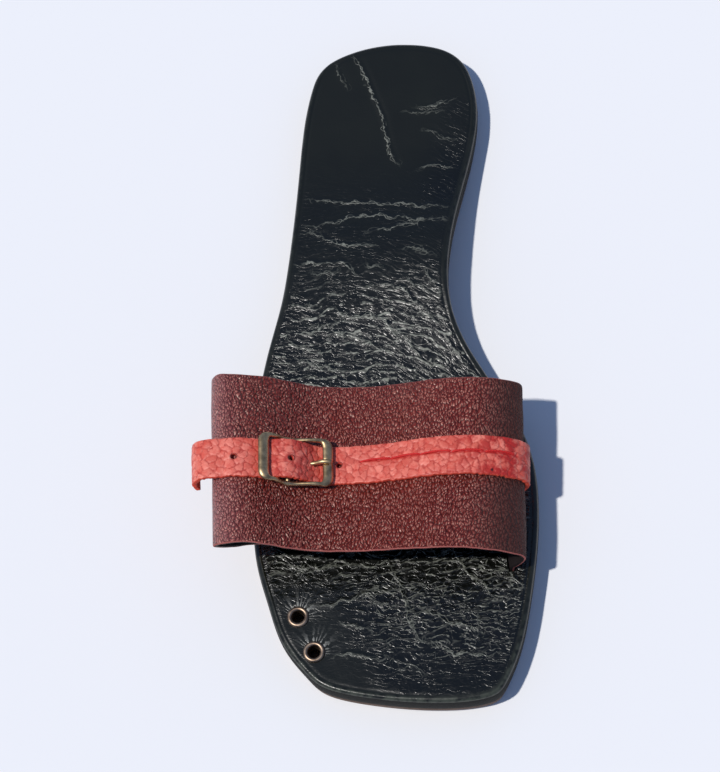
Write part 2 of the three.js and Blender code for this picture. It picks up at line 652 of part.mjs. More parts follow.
const outsole = () => soleLayer([
  { inset: 2 * OUTSOLE_INSET, height: 0 },
  { inset: OUTSOLE_INSET, height: OUTSOLE_INSET },
  { inset: OUTSOLE_INSET, height: OUTSOLE_THICKNESS },
]);

// A rolled brass ring with its barrel down into the footbed, flange just clear of the leather
function eyelet() {
  const bore = EYELET_BORE / 2;
  const rim = EYELET_DIAMETER / 2;
  const profile = [
    [bore, 0],
    [bore, -EYELET_BARREL_DEPTH],
    [bore + EYELET_BARREL_WALL, -EYELET_BARREL_DEPTH],
    [bore + EYELET_BARREL_WALL, GAP],
    ...EYELET_FLANGE.map(({ out, up }) => [lerp(bore, rim, out), GAP + up * EYELET_FLANGE_HEIGHT]),
    [bore, 0],
  ];
  const ring = new THREE.LatheGeometry(profile.map(([r, y]) => new THREE.Vector2(r, y)), EYELET_SIDES);
  return ring.rotateX(Math.PI / 2);
}

// Materials
const blackLeather = new THREE.MeshStandardMaterial({ color: 0x23282a, roughness: 0.35 });
const brownLeather = new THREE.MeshStandardMaterial({ color: 0x5b463b, roughness: 0.8 });
const maroonLeather = new THREE.MeshStandardMaterial({ color: 0x5a2026, roughness: 0.5 });
const coralLeather = new THREE.MeshStandardMaterial({ color: 0xd0554d, roughness: 0.6 });
const antiqueBrass = new THREE.MeshStandardMaterial({ color: 0x7d6a48, roughness: 0.35, metalness: 1 });
const bronze = new THREE.MeshStandardMaterial({ color: 0x8a6650, roughness: 0.4, metalness: 1 });

function piece(name, geometry, material) {
  const mesh = new THREE.Mesh(geometry, material);
  mesh.name = name;
  return mesh;
}

const buckle = new THREE.Group();
buckle.add(piece('buckle_frame', fromSolid(buckleFrameSolid()), antiqueBrass));
buckle.add(piece('buckle_prong', fromSolid(prongSolid()), antiqueBrass));
buckle.applyMatrix4(buckleFrame);

const sandal = new THREE.Group();
sandal.add(piece('outsole', outsole(), brownLeather));
sandal.add(piece('footbed', fromSolid(footbedSolid()), blackLeather));
sandal.add(piece('upper_band', band(), maroonLeather));
sandal.add(piece('belt_strap', fromSolid(strapSolid()), coralLeather));
sandal.add(buckle);
eyeletPlaces.forEach(({ name, x, y, z }) => {
  const ring = piece(name, eyelet(), bronze);
  ring.position.set(x, y, z);
  sandal.add(ring);
});

// The origin is under the middle of the whole sandal, on the floor
const bounds = new THREE.Box3().setFromObject(sandal);
const middle = bounds.getCenter(new THREE.Vector3());
sandal.position.set(-middle.x, -middle.y, -bounds.min.z);

export default sandal;
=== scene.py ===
import math

import bpy
import numpy as np
from mathutils import Matrix, Vector, noise
from mathutils.kdtree import KDTree


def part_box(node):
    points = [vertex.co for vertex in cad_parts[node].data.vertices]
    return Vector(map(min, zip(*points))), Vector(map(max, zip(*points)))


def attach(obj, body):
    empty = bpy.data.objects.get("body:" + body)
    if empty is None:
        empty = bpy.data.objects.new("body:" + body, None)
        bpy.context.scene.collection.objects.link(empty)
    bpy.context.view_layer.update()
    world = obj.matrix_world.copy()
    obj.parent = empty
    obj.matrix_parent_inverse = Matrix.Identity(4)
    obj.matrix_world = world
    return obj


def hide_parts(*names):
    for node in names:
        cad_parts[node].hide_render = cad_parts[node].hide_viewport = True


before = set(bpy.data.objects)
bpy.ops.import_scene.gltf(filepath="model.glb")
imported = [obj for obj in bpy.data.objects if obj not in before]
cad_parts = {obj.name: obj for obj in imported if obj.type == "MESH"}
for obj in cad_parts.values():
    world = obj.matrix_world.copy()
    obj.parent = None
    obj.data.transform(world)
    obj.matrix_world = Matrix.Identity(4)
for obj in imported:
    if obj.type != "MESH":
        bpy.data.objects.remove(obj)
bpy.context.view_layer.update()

# A slide sandal for the right foot. Lengths are in millimetres until a mesh is made. As in the frame, the toe
# points to -Y, the heel to +Y and the inner side to +X, but x and y start at the middle of the heel's end.
MM = 0.001

# Sole
SOLE_LENGTH = 252
HEEL_WIDTH = 63
WAIST_WIDTH = 59
BALL_WIDTH = 97
OUTSOLE_THICKNESS = 3.2
OUTSOLE_INSET = 0.5
FOOTBED_THICKNESS = 8.5
FOOTBED_EDGE_ROUND = 1.6
ARCH_LIFT_INNER = 7
ARCH_LIFT_OUTER = 2
TOE_SPRING = 1.5
ARCH_FROM = 0.17
ARCH_TO = 0.59
TOE_BREAK = 0.86

# Band
BAND_WIDTH = 60
BAND_WALL = 1.6
BAND_RISE = 28.5
BAND_FROM = 0.54
SLOT_INSET = 6.7

# Strap
STRAP_WIDTH = 13.6
STRAP_THICKNESS = 1.6
STRAP_FORWARD = 0.65
TAIL_REACH = 9.4
TAIL_DROP = 10
TAIL_LEAVES_AT = 0.262
HOLE_DIAMETER = 1.9
HOLE_PITCH = 9.3
HOLES_TOWARDS_TAIL = 3
HOLES_TOWARDS_SLOT = 1

# Buckle
BUCKLE_AT = 0.395
BUCKLE_LENGTH = 26
BRIDGE_PAST_BARS = 1.3
END_BAR_WIDTH = 3.6
END_BAR_HEIGHT = 2.2
RAIL_WIDTH = 1.4
RAIL_HEIGHT = 1.7
BUCKLE_CORNER = 2.8
BUCKLE_PLAY = 0.9
BUCKLE_SIDE_PLAY = 0.3
CENTRE_BAR_DIAMETER = 1.6
CENTRE_BAR_OFFSET = 2
PRONG_DIAMETER = 1.5
PRONG_EYE_WALL = 0.7
PRONG_EYE_WIDTH = 2.2
PRONG_OVERHANG = 0.5
PRONG_HOLE_AT = 0.7
NOTCH_DEPTH = 0.5
BOSS_WIDTH = 0.22
BOSS_HEIGHT = 0.3

# Eyelets
EYELET_DIAMETER = 7.3
EYELET_BORE = 4.2
EYELET_FLANGE_HEIGHT = 1
EYELET_BARREL_WALL = 0.5
EYELET_BARREL_DEPTH = 6

# The play between neighbouring pieces, and the heights of the footbed's underside and top
GAP = 0.3
FOOTBED_BASE = OUTSOLE_THICKNESS + GAP
FOOTBED_TOP = FOOTBED_BASE + FOOTBED_THICKNESS

# The outline: share of the length from the heel, outer edge, inner edge, and the width they are shares of
OUTLINE = [
    (0.0, -0.008, -0.008, HEEL_WIDTH),
    (0.012, -0.278, 0.262, HEEL_WIDTH),
    (0.032, -0.421, 0.368, HEEL_WIDTH),
    (0.071, -0.502, 0.435, HEEL_WIDTH),
    (0.127, -0.546, 0.454, HEEL_WIDTH),
    (0.238, -0.627, 0.393, WAIST_WIDTH),
    (0.357, -0.678, 0.292, WAIST_WIDTH),
    (0.421, -0.722, 0.285, WAIST_WIDTH),
    (0.476, -0.476, 0.209, BALL_WIDTH),
    (0.532, -0.509, 0.287, BALL_WIDTH),
    (0.595, -0.53, 0.385, BALL_WIDTH),
    (0.659, -0.539, 0.446, BALL_WIDTH),
    (0.722, -0.536, 0.461, BALL_WIDTH),
    (0.794, -0.524, 0.449, BALL_WIDTH),
    (0.853, -0.484, 0.425, BALL_WIDTH),
    (0.913, -0.429, 0.392, BALL_WIDTH),
    (0.952, -0.354, 0.357, BALL_WIDTH),
    (0.978, -0.264, 0.323, BALL_WIDTH),
    (0.992, -0.108, 0.284, BALL_WIDTH),
    (1.0, 0.134, 0.134, BALL_WIDTH),
]

# The band's rear and front edges, from the outer slot to the inner one: share of the way across, share of
# BAND_RISE above the footbed, and share of BAND_WIDTH ahead of the band's own line
BAND_REAR = [
    (0, 0, 0.1),
    (-0.003, 0.09, 0.1),
    (-0.075, 0.28, 0.11),
    (-0.195, 0.51, 0.12),
    (-0.268, 0.77, 0.13),
    (-0.235, 0.965, 0.135),
    (-0.134, 0.995, 0.137),
    (0.032, 0.818, 0.14),
    (0.177, 0.612, 0.145),
    (0.308, 0.551, 0.15),
    (0.53, 0.604, 0.16),
    (0.71, 0.75, 0.17),
    (0.903, 0.835, 0.18),
    (1.066, 0.765, 0.183),
    (1.163, 0.54, 0.183),
    (1.11, 0.28, 0.183),
    (1.003, 0.09, 0.183),
    (1, 0, 0.183),
]
BAND_FRONT = [
    (0, 0, 0),
    (-0.003, 0.09, 0),
    (-0.06, 0.28, 0.03),
    (-0.155, 0.51, 0.08),
    (-0.216, 0.77, 0.12),
    (-0.186, 0.965, 0.135),
    (-0.077, 1.015, 0.137),
    (0.029, 0.877, 0.14),
    (0.153, 0.715, 0.145),
    (0.278, 0.67, 0.15),
    (0.478, 0.716, 0.16),
    (0.622, 0.81, 0.17),
    (0.765, 0.839, 0.18),
    (0.925, 0.715, 0.183),
    (1.042, 0.45, 0.183),
    (1.035, 0.23, 0.183),
    (1.003, 0.08, 0.183),
    (1, 0, 0.183),
]

# The strap's free tail: share of TAIL_REACH outwards, share of TAIL_DROP down
TAIL = [(0.42, 0.01), (0.78, 0.14), (1.0, 0.5), (0.94, 1.0)]

# The prong: share of the way from the centre bar to the far end bar, share of the way up to its notch
PRONG_PATH = [(0.3, -0.06), (0.52, 0.06), (0.7, 0.36), (0.84, 0.82), (1.0, 1.0)]

# The eyelets' places: share of SOLE_LENGTH from the heel, share of BALL_WIDTH across
EYELETS = {"eyelet_rear": (0.877, -0.376), "eyelet_front": (0.926, -0.321)}

# The footbed's main creases: depth, then points as the share of the sole's width from its outer edge
# and the share of its length from the heel
CREASES = [
    (0.5, [(0.04, 0.013), (0.31, 0.048), (0.385, 0.09), (0.45, 0.127), (0.505, 0.172), (0.577, 0.201)]),
    (0.2, [(0.05, 0.028), (0.14, 0.048), (0.22, 0.072)]),
    (0.25, [(0.66, 0.107), (0.76, 0.108), (0.87, 0.099)]),
    (0.2, [(0.575, 0.118), (0.7, 0.119), (0.8, 0.117)]),
    (0.2, [(0.7, 0.15), (0.825, 0.161), (0.905, 0.165)]),
    (0.25, [(0.7, 0.215), (0.8, 0.208), (0.91, 0.215)]),
    (0.35, [(0.07, 0.254), (0.25, 0.262), (0.47, 0.268), (0.78, 0.278), (0.93, 0.284)]),
    (0.35, [(0.075, 0.302), (0.267, 0.298), (0.4, 0.29), (0.59, 0.292), (0.79, 0.302), (0.97, 0.306)]),
    (0.4, [(0.045, 0.313), (0.163, 0.314), (0.225, 0.324), (0.308, 0.334), (0.41, 0.339), (0.535, 0.34)]),
    (0.3, [(0.467, 0.319), (0.577, 0.313), (0.711, 0.308), (0.847, 0.302)]),
    (0.45, [(0.03, 0.36), (0.13, 0.361), (0.23, 0.363), (0.34, 0.364), (0.385, 0.374), (0.44, 0.383)]),
    (0.25, [(0.152, 0.377), (0.236, 0.381), (0.33, 0.375)]),
    (0.25, [(0.495, 0.372), (0.592, 0.375)]),
    (0.25, [(0.71, 0.351), (0.8, 0.35), (0.915, 0.366)]),
    (0.3, [(0.85, 0.379), (0.913, 0.408), (0.965, 0.42)]),
    (0.3, [(0.046, 0.427), (0.142, 0.425), (0.22, 0.429)]),
    (0.45, [(0.326, 0.434), (0.39, 0.446), (0.476, 0.449), (0.617, 0.456), (0.644, 0.473), (0.729, 0.483)]),
    (0.35, [(0.487, 0.408), (0.632, 0.404), (0.735, 0.415), (0.808, 0.436), (0.875, 0.452)]),
    (0.3, [(0.74, 0.397), (0.82, 0.408), (0.89, 0.42)]),
    (0.4, [(0.056, 0.46), (0.157, 0.469), (0.276, 0.466), (0.436, 0.478), (0.566, 0.493), (0.62, 0.503)]),
    (0.3, [(0.185, 0.456), (0.29, 0.458), (0.39, 0.456)]),
    (0.3, [(0.08, 0.473), (0.161, 0.488), (0.24, 0.493), (0.285, 0.503)]),
    (0.35, [(0.131, 0.516), (0.193, 0.511), (0.262, 0.515), (0.33, 0.523), (0.386, 0.527)]),
    (0.35, [(0.64, 0.463), (0.696, 0.48), (0.72, 0.493), (0.75, 0.52)]),
    (0.3, [(0.77, 0.446), (0.87, 0.456), (0.92, 0.466)]),
    (0.3, [(0.883, 0.477), (0.92, 0.5), (0.935, 0.527)]),
    (0.4, [(0.468, 0.805), (0.504, 0.835), (0.523, 0.868), (0.547, 0.903), (0.6, 0.92)]),
    (0.4, [(0.64, 0.802), (0.69, 0.794), (0.76, 0.825), (0.804, 0.838), (0.87, 0.862)]),
    (0.3, [(0.264, 0.887), (0.31, 0.893), (0.37, 0.895)]),
    (0.3, [(0.175, 0.933), (0.27, 0.931), (0.337, 0.937), (0.425, 0.935)]),
    (0.35, [(0.594, 0.909), (0.651, 0.925), (0.71, 0.933), (0.777, 0.938), (0.91, 0.936)]),
    (0.35, [(0.544, 0.879), (0.622, 0.879), (0.705, 0.893), (0.77, 0.895), (0.825, 0.906)]),
    (0.3, [(0.146, 0.862), (0.253, 0.86), (0.334, 0.854), (0.433, 0.846), (0.493, 0.846)]),
    (0.3, [(0.078, 0.812), (0.133, 0.808), (0.227, 0.81), (0.3, 0.808), (0.383, 0.809)]),
    (0.25, [(0.44, 0.954), (0.507, 0.952), (0.57, 0.96)]),
    (0.3, [(0.89, 0.818), (0.945, 0.84), (0.97, 0.849)]),
]

# How strongly the footbed's leather is crazed along its length: share from the heel, fine net, cross lines,
# steep lines
CRAZE = [
    (0.0, 0.08, 0.02, 0.0),
    (0.2, 0.12, 0.06, 0.0),
    (0.25, 0.34, 0.3, 0.0),
    (0.33, 0.46, 0.5, 0.0),
    (0.4, 0.5, 0.75, 0.05),
    (0.46, 0.8, 1.0, 0.1),
    (0.54, 0.9, 1.0, 0.15),
    (0.78, 1.0, 0.8, 0.5),
    (0.86, 1.0, 0.75, 0.5),
    (0.94, 0.9, 0.65, 0.35),
    (1.0, 0.6, 0.4, 0.2),
]

# Behind the band the wrinkles fall away towards the inner side: the slope, and where across it sets in
WRINKLE_SLANT = 0.55
WRINKLE_TURN = -8
WRINKLE_BEND = 6

# The groove near the footbed's edge, where the leather stops being calm, and each crease's ridge and trough
MARGIN_LINE = 2.3
MARGIN_WIDTH = 0.4
MARGIN_DEPTH = 0.16
MARGIN_FADE = (1.2, 3.2)
CREASE_HEIGHT = 0.4
CREASE_RIDGE = 0.75
CREASE_APART = 1.5
CREASE_TROUGH = 0.9
CRACKLE_HEIGHT = 0.07

# The puckers round the eyelets: which way they face, how far they reach, and how deep the ring sinks
PUCKERS_FACE = 1.2
PUCKER_REACH = 1.5
PUCKER_DEPTH = 0.25

# Where the rounded toe edge gets a painted sheen, as shares of the length, and how far down
TOE_SHEEN_SPAN = (0.86, 0.97)
SHEEN_DOWN_TO = 1.3

# Along the band: where painted shade sets in towards the inner slot, and where the painted sheen at its outer
# side ends
BAND_SHADE_SPAN = (129, 147)
BAND_SHEEN_SPAN = (38, 58)

# The size of the band's pebbles, and how far from its ends its sag sets in
PEBBLE = 0.82
BAND_CALM_ENDS = (9, 22)

# Seam on the strap: long stitches between two places across the sole, as shares of BALL_WIDTH
STITCHES = 5
STITCH_FROM = -0.141
STITCH_TO = 0.378
STITCH_AT = -1.0
THREAD_DIAMETER = 0.7
SEAM_DEPTH = 0.35
SEAM_WIDTH = 0.45

# The strap's embossed scales, and how much its front and rear edges are frayed
SCALE_LENGTH = 2.5
SCALE_WIDTH = 3.0
STRAP_FRAYS = (0.35, 0.12)

# A pinhole, painted only as a dark spot of painted shade: across the sole as a share of BALL_WIDTH, and from
# the strap's middle towards the toe
PINHOLE = (0.306, 5.2)
PINHOLE_FADE = (0.3, 0.6)

# Where the strap is blotched a deeper red: share of BALL_WIDTH across the sole, and how much
RED = [
    (-0.7, 0.05),
    (-0.5, 0.15),
    (-0.42, 0.6),
    (-0.32, 0.6),
    (-0.27, 0.3),
    (0.05, 0.2),
    (0.2, 0.45),
    (0.32, 0.95),
]


class Spline:
    """A natural cubic spline through rows of values."""

    def __init__(self, knots, values):
        self.knots = np.asarray(knots, float)
        self.values = np.asarray(values, float)
        count = len(self.knots)
        step = np.diff(self.knots)
        matrix = np.eye(count)
        right = np.zeros_like(self.values)
        for i in range(1, count - 1):
            matrix[i, i - 1 : i + 2] = step[i - 1], 2 * (step[i - 1] + step[i]), step[i]
            after = (self.values[i + 1] - self.values[i]) / step[i]
            before = (self.values[i] - self.values[i - 1]) / step[i - 1]
            right[i] = 6 * (after - before)
        self.bend = np.linalg.solve(matrix, right)

    def __call__(self, place):
        place = np.clip(np.asarray(place, float), self.knots[0], self.knots[-1])
        i = np.clip(np.searchsorted(self.knots, place, side="right") - 1, 0, len(self.knots) - 2)
        step = self.knots[i + 1] - self.knots[i]
        a = ((self.knots[i + 1] - place) / step)[..., None]
        b = 1 - a
        curve = ((a**3 - a) * self.bend[i] + (b**3 - b) * self.bend[i + 1]) * step[..., None] ** 2 / 6
        return a * self.values[i] + b * self.values[i + 1] + curve


def reach_along(points):
    """How far each point is from the first, along the line through them."""
    return np.concatenate([[0], np.cumsum(np.linalg.norm(np.diff(points, axis=0), axis=1))])


def at_reach(points, reach, places):
    """Points at places along a line, whose own points lie at reach."""
    return np.stack([np.interp(places, reach, column) for column in np.asarray(points).T], axis=-1)


def around(count):
    """Even angles round a circle."""
    return 2 * math.pi * np.arange(count) / count


def path_through(points):
    """A spline through points in space, its knots spaced by the root of their distance."""
    points = np.asarray(points, float)
    steps = np.sqrt(np.linalg.norm(np.diff(points, axis=0), axis=1))
    return Spline(np.concatenate([[0], np.cumsum(steps)]), points)


def unit(vectors):
    return vectors / np.maximum(np.linalg.norm(vectors, axis=-1, keepdims=True), 1e-9)


def smoothstep(value, low, high):
    share = np.clip((value - low) / (high - low), 0, 1)
    return share * share * (3 - 2 * share)


def hump(distance, width):
    return np.exp(-((distance / width) ** 2))


def arch(distance, reach):
    """A smooth rise from 0 at reach to 1 in the middle."""
    return np.cos(np.minimum(1, np.abs(distance) / reach) * math.pi / 2) ** 2


# Sole

outline = Spline(
    [math.acos(1 - 2 * along) for along, _, _, _ in OUTLINE],
    [(outer * of, inner * of) for _, outer, inner, of in OUTLINE],
)


def edges_at(along):
    return outline(np.arccos(1 - 2 * np.clip(along, 0, 1)))


def rim(angle, inner, inset):
    """Points of the outline at angles from the heel's end round to the toe's, moved square inwards."""
    step = 0.004

    def spot(a):
        a = np.clip(a, 0, math.pi)
        x = np.where(inner, outline(a)[..., 1], outline(a)[..., 0])
        return np.stack([x, -SOLE_LENGTH * (1 - np.cos(a)) / 2], axis=-1)

    tangent = unit(spot(angle + step) - spot(angle - step))
    inwards = np.stack([-tangent[..., 1], tangent[..., 0]], axis=-1)
    return spot(angle) + inwards * np.where(inner, -inset, inset)[..., None]


def lift(x, y):
    """How far the underside of the sole is off the floor: the arch, and the toe spring."""
    along = np.clip(-np.asarray(y) / SOLE_LENGTH, 0, 1)
    edges = edges_at(along)
    width = np.maximum(edges[..., 1] - edges[..., 0], 1e-6)
    sideways = np.clip((x - edges[..., 0]) / width, 0, 1)
    arch_share = np.clip((along - ARCH_FROM) / (ARCH_TO - ARCH_FROM), 0, 1)
    arch_height = ARCH_LIFT_OUTER + (ARCH_LIFT_INNER - ARCH_LIFT_OUTER) * sideways
    toe = TOE_SPRING * (np.maximum(0, along - TOE_BREAK) / (1 - TOE_BREAK)) ** 2
    return np.sin(math.pi * arch_share) ** 2 * arch_height + toe


def footbed_top(x, y):
    return lift(x, y) + FOOTBED_TOP


footbed_low, footbed_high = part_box("footbed")
ORIGIN = np.array([
    footbed_low.x / MM - outline(np.linspace(0, math.pi, 2000))[:, 0].min(),
    footbed_high.y / MM,
    0,
])


# Meshes

def put(name, data):
    """A new object in the scene for a mesh, a light or a camera."""
    thing = bpy.data.objects.new(name, data)
    bpy.context.scene.collection.objects.link(thing)
    return thing


def make_piece(name, points, faces, materials, face_materials=None):
    """A smooth mesh from points in millimetres."""
    mesh = bpy.data.meshes.new(name)
    mesh.from_pydata(((np.asarray(points) + ORIGIN) * MM).tolist(), [], faces)
    for material in materials:
        mesh.materials.append(material)
    if face_materials is not None:
        mesh.polygons.foreach_set("material_index", face_materials)
    mesh.polygons.foreach_set("use_smooth", [True] * len(mesh.polygons))
    mesh.update()
    return put(name, mesh)


def set_attribute(piece, name, values):
    attribute = piece.data.attributes.new(name, "FLOAT", "POINT")
    attribute.data.foreach_set("value", np.asarray(values, np.float32))


def set_map(piece, along, across):
    """A flat map of the piece in millimetres, kept as a vector at each point."""
    attribute = piece.data.attributes.new("flat", "FLOAT_VECTOR", "POINT")
    flat = np.stack([along, across, np.zeros_like(along)], axis=-1)
    attribute.data.foreach_set("vector", flat.astype(np.float32).ravel())


def grid_faces(rows, columns, start=0, close=False, loop=False):
    """Quads between rows of points. close joins the last column to the first, and loop the last row."""
    faces = []
    for i in range(rows if loop else rows - 1):
        a = start + i * columns
        b = start + (i + 1) % rows * columns
        for j in range(columns if close else columns - 1):
            k = (j + 1) % columns
            faces.append((a + j, a + k, b + k, b + j))
    return faces


def ladder(start, count, tip, facing_up):
    """Rungs across a ring of points, clockwise from above, that is the same on both sides of its tip."""
    faces = []
    for q in range(count // 2):
        a, b = (tip + q) % count, (tip + q + 1) % count
        c, d = (tip - q - 1) % count, (tip - q) % count
        face = [d, c, b, a] if facing_up else [a, b, c, d]
        kept = list(dict.fromkeys(face))
        faces.append(tuple(start + index for index in kept))
    return faces


def cut(piece, cutters):
    """Cuts closed meshes out of a piece."""
    for cutter in cutters:
        modifier = piece.modifiers.new("cut", "BOOLEAN")
        modifier.operation = "DIFFERENCE"
        modifier.solver = "MANIFOLD"
        modifier.object = cutter
    graph = bpy.context.evaluated_depsgraph_get()
    result = bpy.data.meshes.new_from_object(piece.evaluated_get(graph))
    piece.modifiers.clear()
    old = piece.data
    piece.data = result
    result.name = piece.name
    bpy.data.meshes.remove(old)
    for cutter in cutters:
        bpy.data.objects.remove(cutter)


def end_faces(rows, columns):
    """A face at each end of a tube of rings."""
    last = (rows - 1) * columns
    return [tuple(range(columns - 1, -1, -1)), tuple(range(last, last + columns))]


def joined(parts):
    """The points and faces of several meshes as those of one."""
    points, faces, count = [], [], 0
    for part_points, part_faces in parts:
        points.append(part_points)
        faces += [tuple(count + k for k in face) for face in part_faces]
        count += len(part_points)
    return np.concatenate(points), faces


def rod(points, radius, sides=24):
    """Points and faces of a round tube with flat ends."""
    points = np.asarray(points, float)
    tangents = unit(np.gradient(points, axis=0))
    guide = np.array([0, 1, 0]) if abs(tangents[0][1]) < 0.8 else np.array([1, 0, 0])
    first = unit(np.cross(tangents, guide))
    second = np.cross(tangents, first)
    radii = np.broadcast_to(np.asarray(radius, float), (len(points),))[:, None, None]
    angles = around(sides)
    ring = first[:, None] * np.cos(angles)[None, :, None] + second[:, None] * np.sin(angles)[None, :, None]
    vertices = (points[:, None] + ring * radii).reshape(-1, 3)
    return vertices, grid_faces(len(points), sides, close=True) + end_faces(len(points), sides)


# Materials

class Shader:
    """Builds the nodes of one material around its surface shader."""

    def __init__(self, name, **fixed):
        self.material = bpy.data.materials.new(name)
        self.material.use_nodes = True
        self.tree = self.material.node_tree
        self.surface = self.tree.nodes["Principled BSDF"]
        for socket, value in fixed.items():
            self.surface.inputs[socket.replace("_", " ")].default_value = value

    def node(self, kind, settings=(), **inputs):
        node = self.tree.nodes.new(kind)
        for key, value in dict(settings).items():
            setattr(node, key, value)
        for key, value in inputs.items():
            self.feed(node.inputs[key.replace("_", " ")], value)
        return node

    def feed(self, socket, value):
        """Links a socket to another one, or sets it. None leaves it as it is."""
        if isinstance(value, bpy.types.NodeSocket):
            self.tree.links.new(value, socket)
        elif value is not None:
            socket.default_value = value

    def place(self):
        """The point on the piece, in millimetres."""
        return self.stretch(self.node("ShaderNodeTexCoord").outputs["Object"], (1 / MM, 1 / MM, 1 / MM))

    def flat(self):
        """The point on the piece's flat map, in millimetres."""
        return self.node("ShaderNodeAttribute", {"attribute_name": "flat"}).outputs["Vector"]

    def attribute(self, name):
        return self.node("ShaderNodeAttribute", {"attribute_name": name}).outputs["Fac"]

    def stretch(self, vector, by, turn=0):
        node = self.node("ShaderNodeMapping", Vector=vector, Scale=by, Rotation=(0, 0, turn))
        return node.outputs["Vector"]

    def noise(self, vector, size, detail=2.0, roughness=0.5):
        """Soft noise, its blobs about size across."""
        settings = {"Scale": 1 / size, "Detail": detail, "Roughness": roughness}
        return self.node("ShaderNodeTexNoise", Vector=vector, **settings).outputs["Fac"]

    def vector_math(self, operation, a, b):
        node = self.node("ShaderNodeVectorMath", {"operation": operation})
        self.feed(node.inputs[0], a)
        self.feed(node.inputs["Scale" if operation == "SCALE" else 1], b)
        return node.outputs[0]

    def warp(self, vector, size, reach):
        """Shifts a place by soft noise, up to about half of reach."""
        cloud = self.node("ShaderNodeTexNoise", Vector=vector, Scale=1 / size, Detail=1.0).outputs["Color"]
        shift = self.vector_math("SUBTRACT", cloud, (0.5, 0.5, 0.5))
        return self.vector_math("ADD", vector, self.vector_math("SCALE", shift, reach))

    def cells(self, vector, size, feature):
        """Flat cells about size across: the distance to a cell's middle, or to its edge."""
        settings = {"feature": feature, "voronoi_dimensions": "2D"}
        return self.node("ShaderNodeTexVoronoi", settings, Vector=vector, Scale=1 / size).outputs["Distance"]

    def wrinkles(self, vector, turn, spacing, length, shift):
        """Even ridges across a place, broken into stretches about length long."""
        start = (shift, shift, 0)
        moved = self.node("ShaderNodeMapping", Vector=vector, Rotation=(0, 0, turn), Location=start)
        turned = moved.outputs["Vector"]
        across = self.node("ShaderNodeSeparateXYZ", Vector=turned).outputs["Y"]
        wave = self.math("SINE", self.times(across, 2 * math.pi / spacing))
        breaks = self.noise(self.stretch(turned, (1 / length, 1 / (0.45 * length), 1)), 1.0)
        return self.times(self.fade(wave, 0.66, 1.0), self.fade(breaks, 0.44, 0.56))

    def math(self, operation, a, b=None, c=None):
        node = self.node("ShaderNodeMath", {"operation": operation})
        for socket, value in zip(node.inputs, (a, b, c)):
            self.feed(socket, value)
        return node.outputs[0]

    def times(self, a, b):
        return self.math("MULTIPLY", a, b)

    def plus(self, a, b):
        return self.math("ADD", a, b)

    def most(self, first, *others):
        """The greatest of several values."""
        for value in others:
            first = self.math("MAXIMUM", first, value)
        return first

    def total(self, *parts):
        """The sum of values, each times its weight."""
        result = None
        for value, weight in parts:
            term = self.times(value, weight)
            result = term if result is None else self.plus(result, term)
        return result

    def fade(self, value, low, high, start=0.0, end=1.0):
        """Goes softly from start to end while the value goes from low to high."""
        settings = {"interpolation_type": "SMOOTHSTEP"}
        node = self.node("ShaderNodeMapRange", settings, Value=value)
        for socket, number in zip(("From Min", "From Max", "To Min", "To Max"), (low, high, start, end)):
            node.inputs[socket].default_value = number
        return node.outputs["Result"]

    def mix(self, factor, a, b):
        node = self.node("ShaderNodeMix", {"data_type": "RGBA"})
        self.feed(node.inputs["Factor"], factor)
        colour_sockets = node.inputs[6], node.inputs[7]
        for socket, colour in zip(colour_sockets, (a, b)):
            self.feed(socket, (*colour, 1) if isinstance(colour, tuple) else colour)
        return node.outputs[2]

    def paint(self, colour, *coats):
        """Coats over a colour, each with how strongly it shows."""
        for factor, coat in coats:
            colour = self.mix(factor, colour, coat)
        return colour

    def finish(self, colour, roughness=None, height=None):
        """Links colour, roughness and a height in millimetres to the surface."""
        if isinstance(colour, tuple):
            colour = (*colour, 1)
        self.feed(self.surface.inputs["Base Color"], colour)
        self.feed(self.surface.inputs["Roughness"], roughness)
        if height is not None:
            bump = self.node("ShaderNodeBump", Strength=1.0, Distance=MM, Height=height)
            self.feed(self.surface.inputs["Normal"], bump.outputs["Normal"])
        return self.material


# The strands along a fold: the size and reach of their wander, their thickness, and how faint they get
STRANDS = [
    (1.7, 2.2, 0.32, 0.15),
    (5.0, 8.0, 0.26, 0.0),
    (3.4, 6.0, 0.24, 0.0),
]


def crazing(shader, place, net, cross, hatch):
    """Wrinkles in several directions, and a net of flat cells."""
    bent = shader.warp(shader.warp(shader.flat(), 12, 7), 2.4, 1.5)
    fine_net = shader.times(net, 0.85)
    layers = [
        (cross, 0.0, 3.4, 13.0, 0.0),
        (cross, -0.25, 4.7, 15.0, 31.0),
        (fine_net, 0.28, 1.9, 5.5, 17.0),
        (fine_net, -0.1, 1.5, 4.0, 83.0),
        (hatch, 1.0, 3.0, 8.0, 47.0),
        (hatch, -1.5, 3.6, 8.0, 59.0),
    ]
    ridges = [shader.times(shader.wrinkles(bent, *wrinkle), share) for share, *wrinkle in layers]
    wide = shader.stretch(shader.warp(bent, 1.8, 1.0), (0.62, 1, 1))
    mesh = shader.fade(shader.cells(wide, 1.7, "DISTANCE_TO_EDGE"), 0.0, 0.18, 1, 0)
    mesh = shader.times(mesh, shader.fade(shader.noise(place, 3.4), 0.42, 0.6))
    return shader.most(*ridges, shader.times(mesh, shader.times(net, 0.8)))


def fold_strands(shader, place):
    """Strands that wander along the main creases. They are raised, and painted pale, partly as wear and
    partly as a painted highlight.
    """
    strands = []
    for spread, wander, thick, low in STRANDS:
        bend = shader.math("MULTIPLY_ADD", shader.noise(place, spread), wander, -wander / 2)
        away = shader.math("ABSOLUTE", shader.plus(shader.attribute("side"), bend))
        patches = shader.noise(shader.stretch(place, (0.5, 1, 1)), 0.5 + 0.5 * spread)
        gaps = shader.fade(patches, 0.38, 0.58, low, 1)
        strands.append(shader.times(shader.fade(away, 0.0, thick, 1, 0), gaps))
    return shader.times(shader.most(*strands), shader.attribute("fold"))


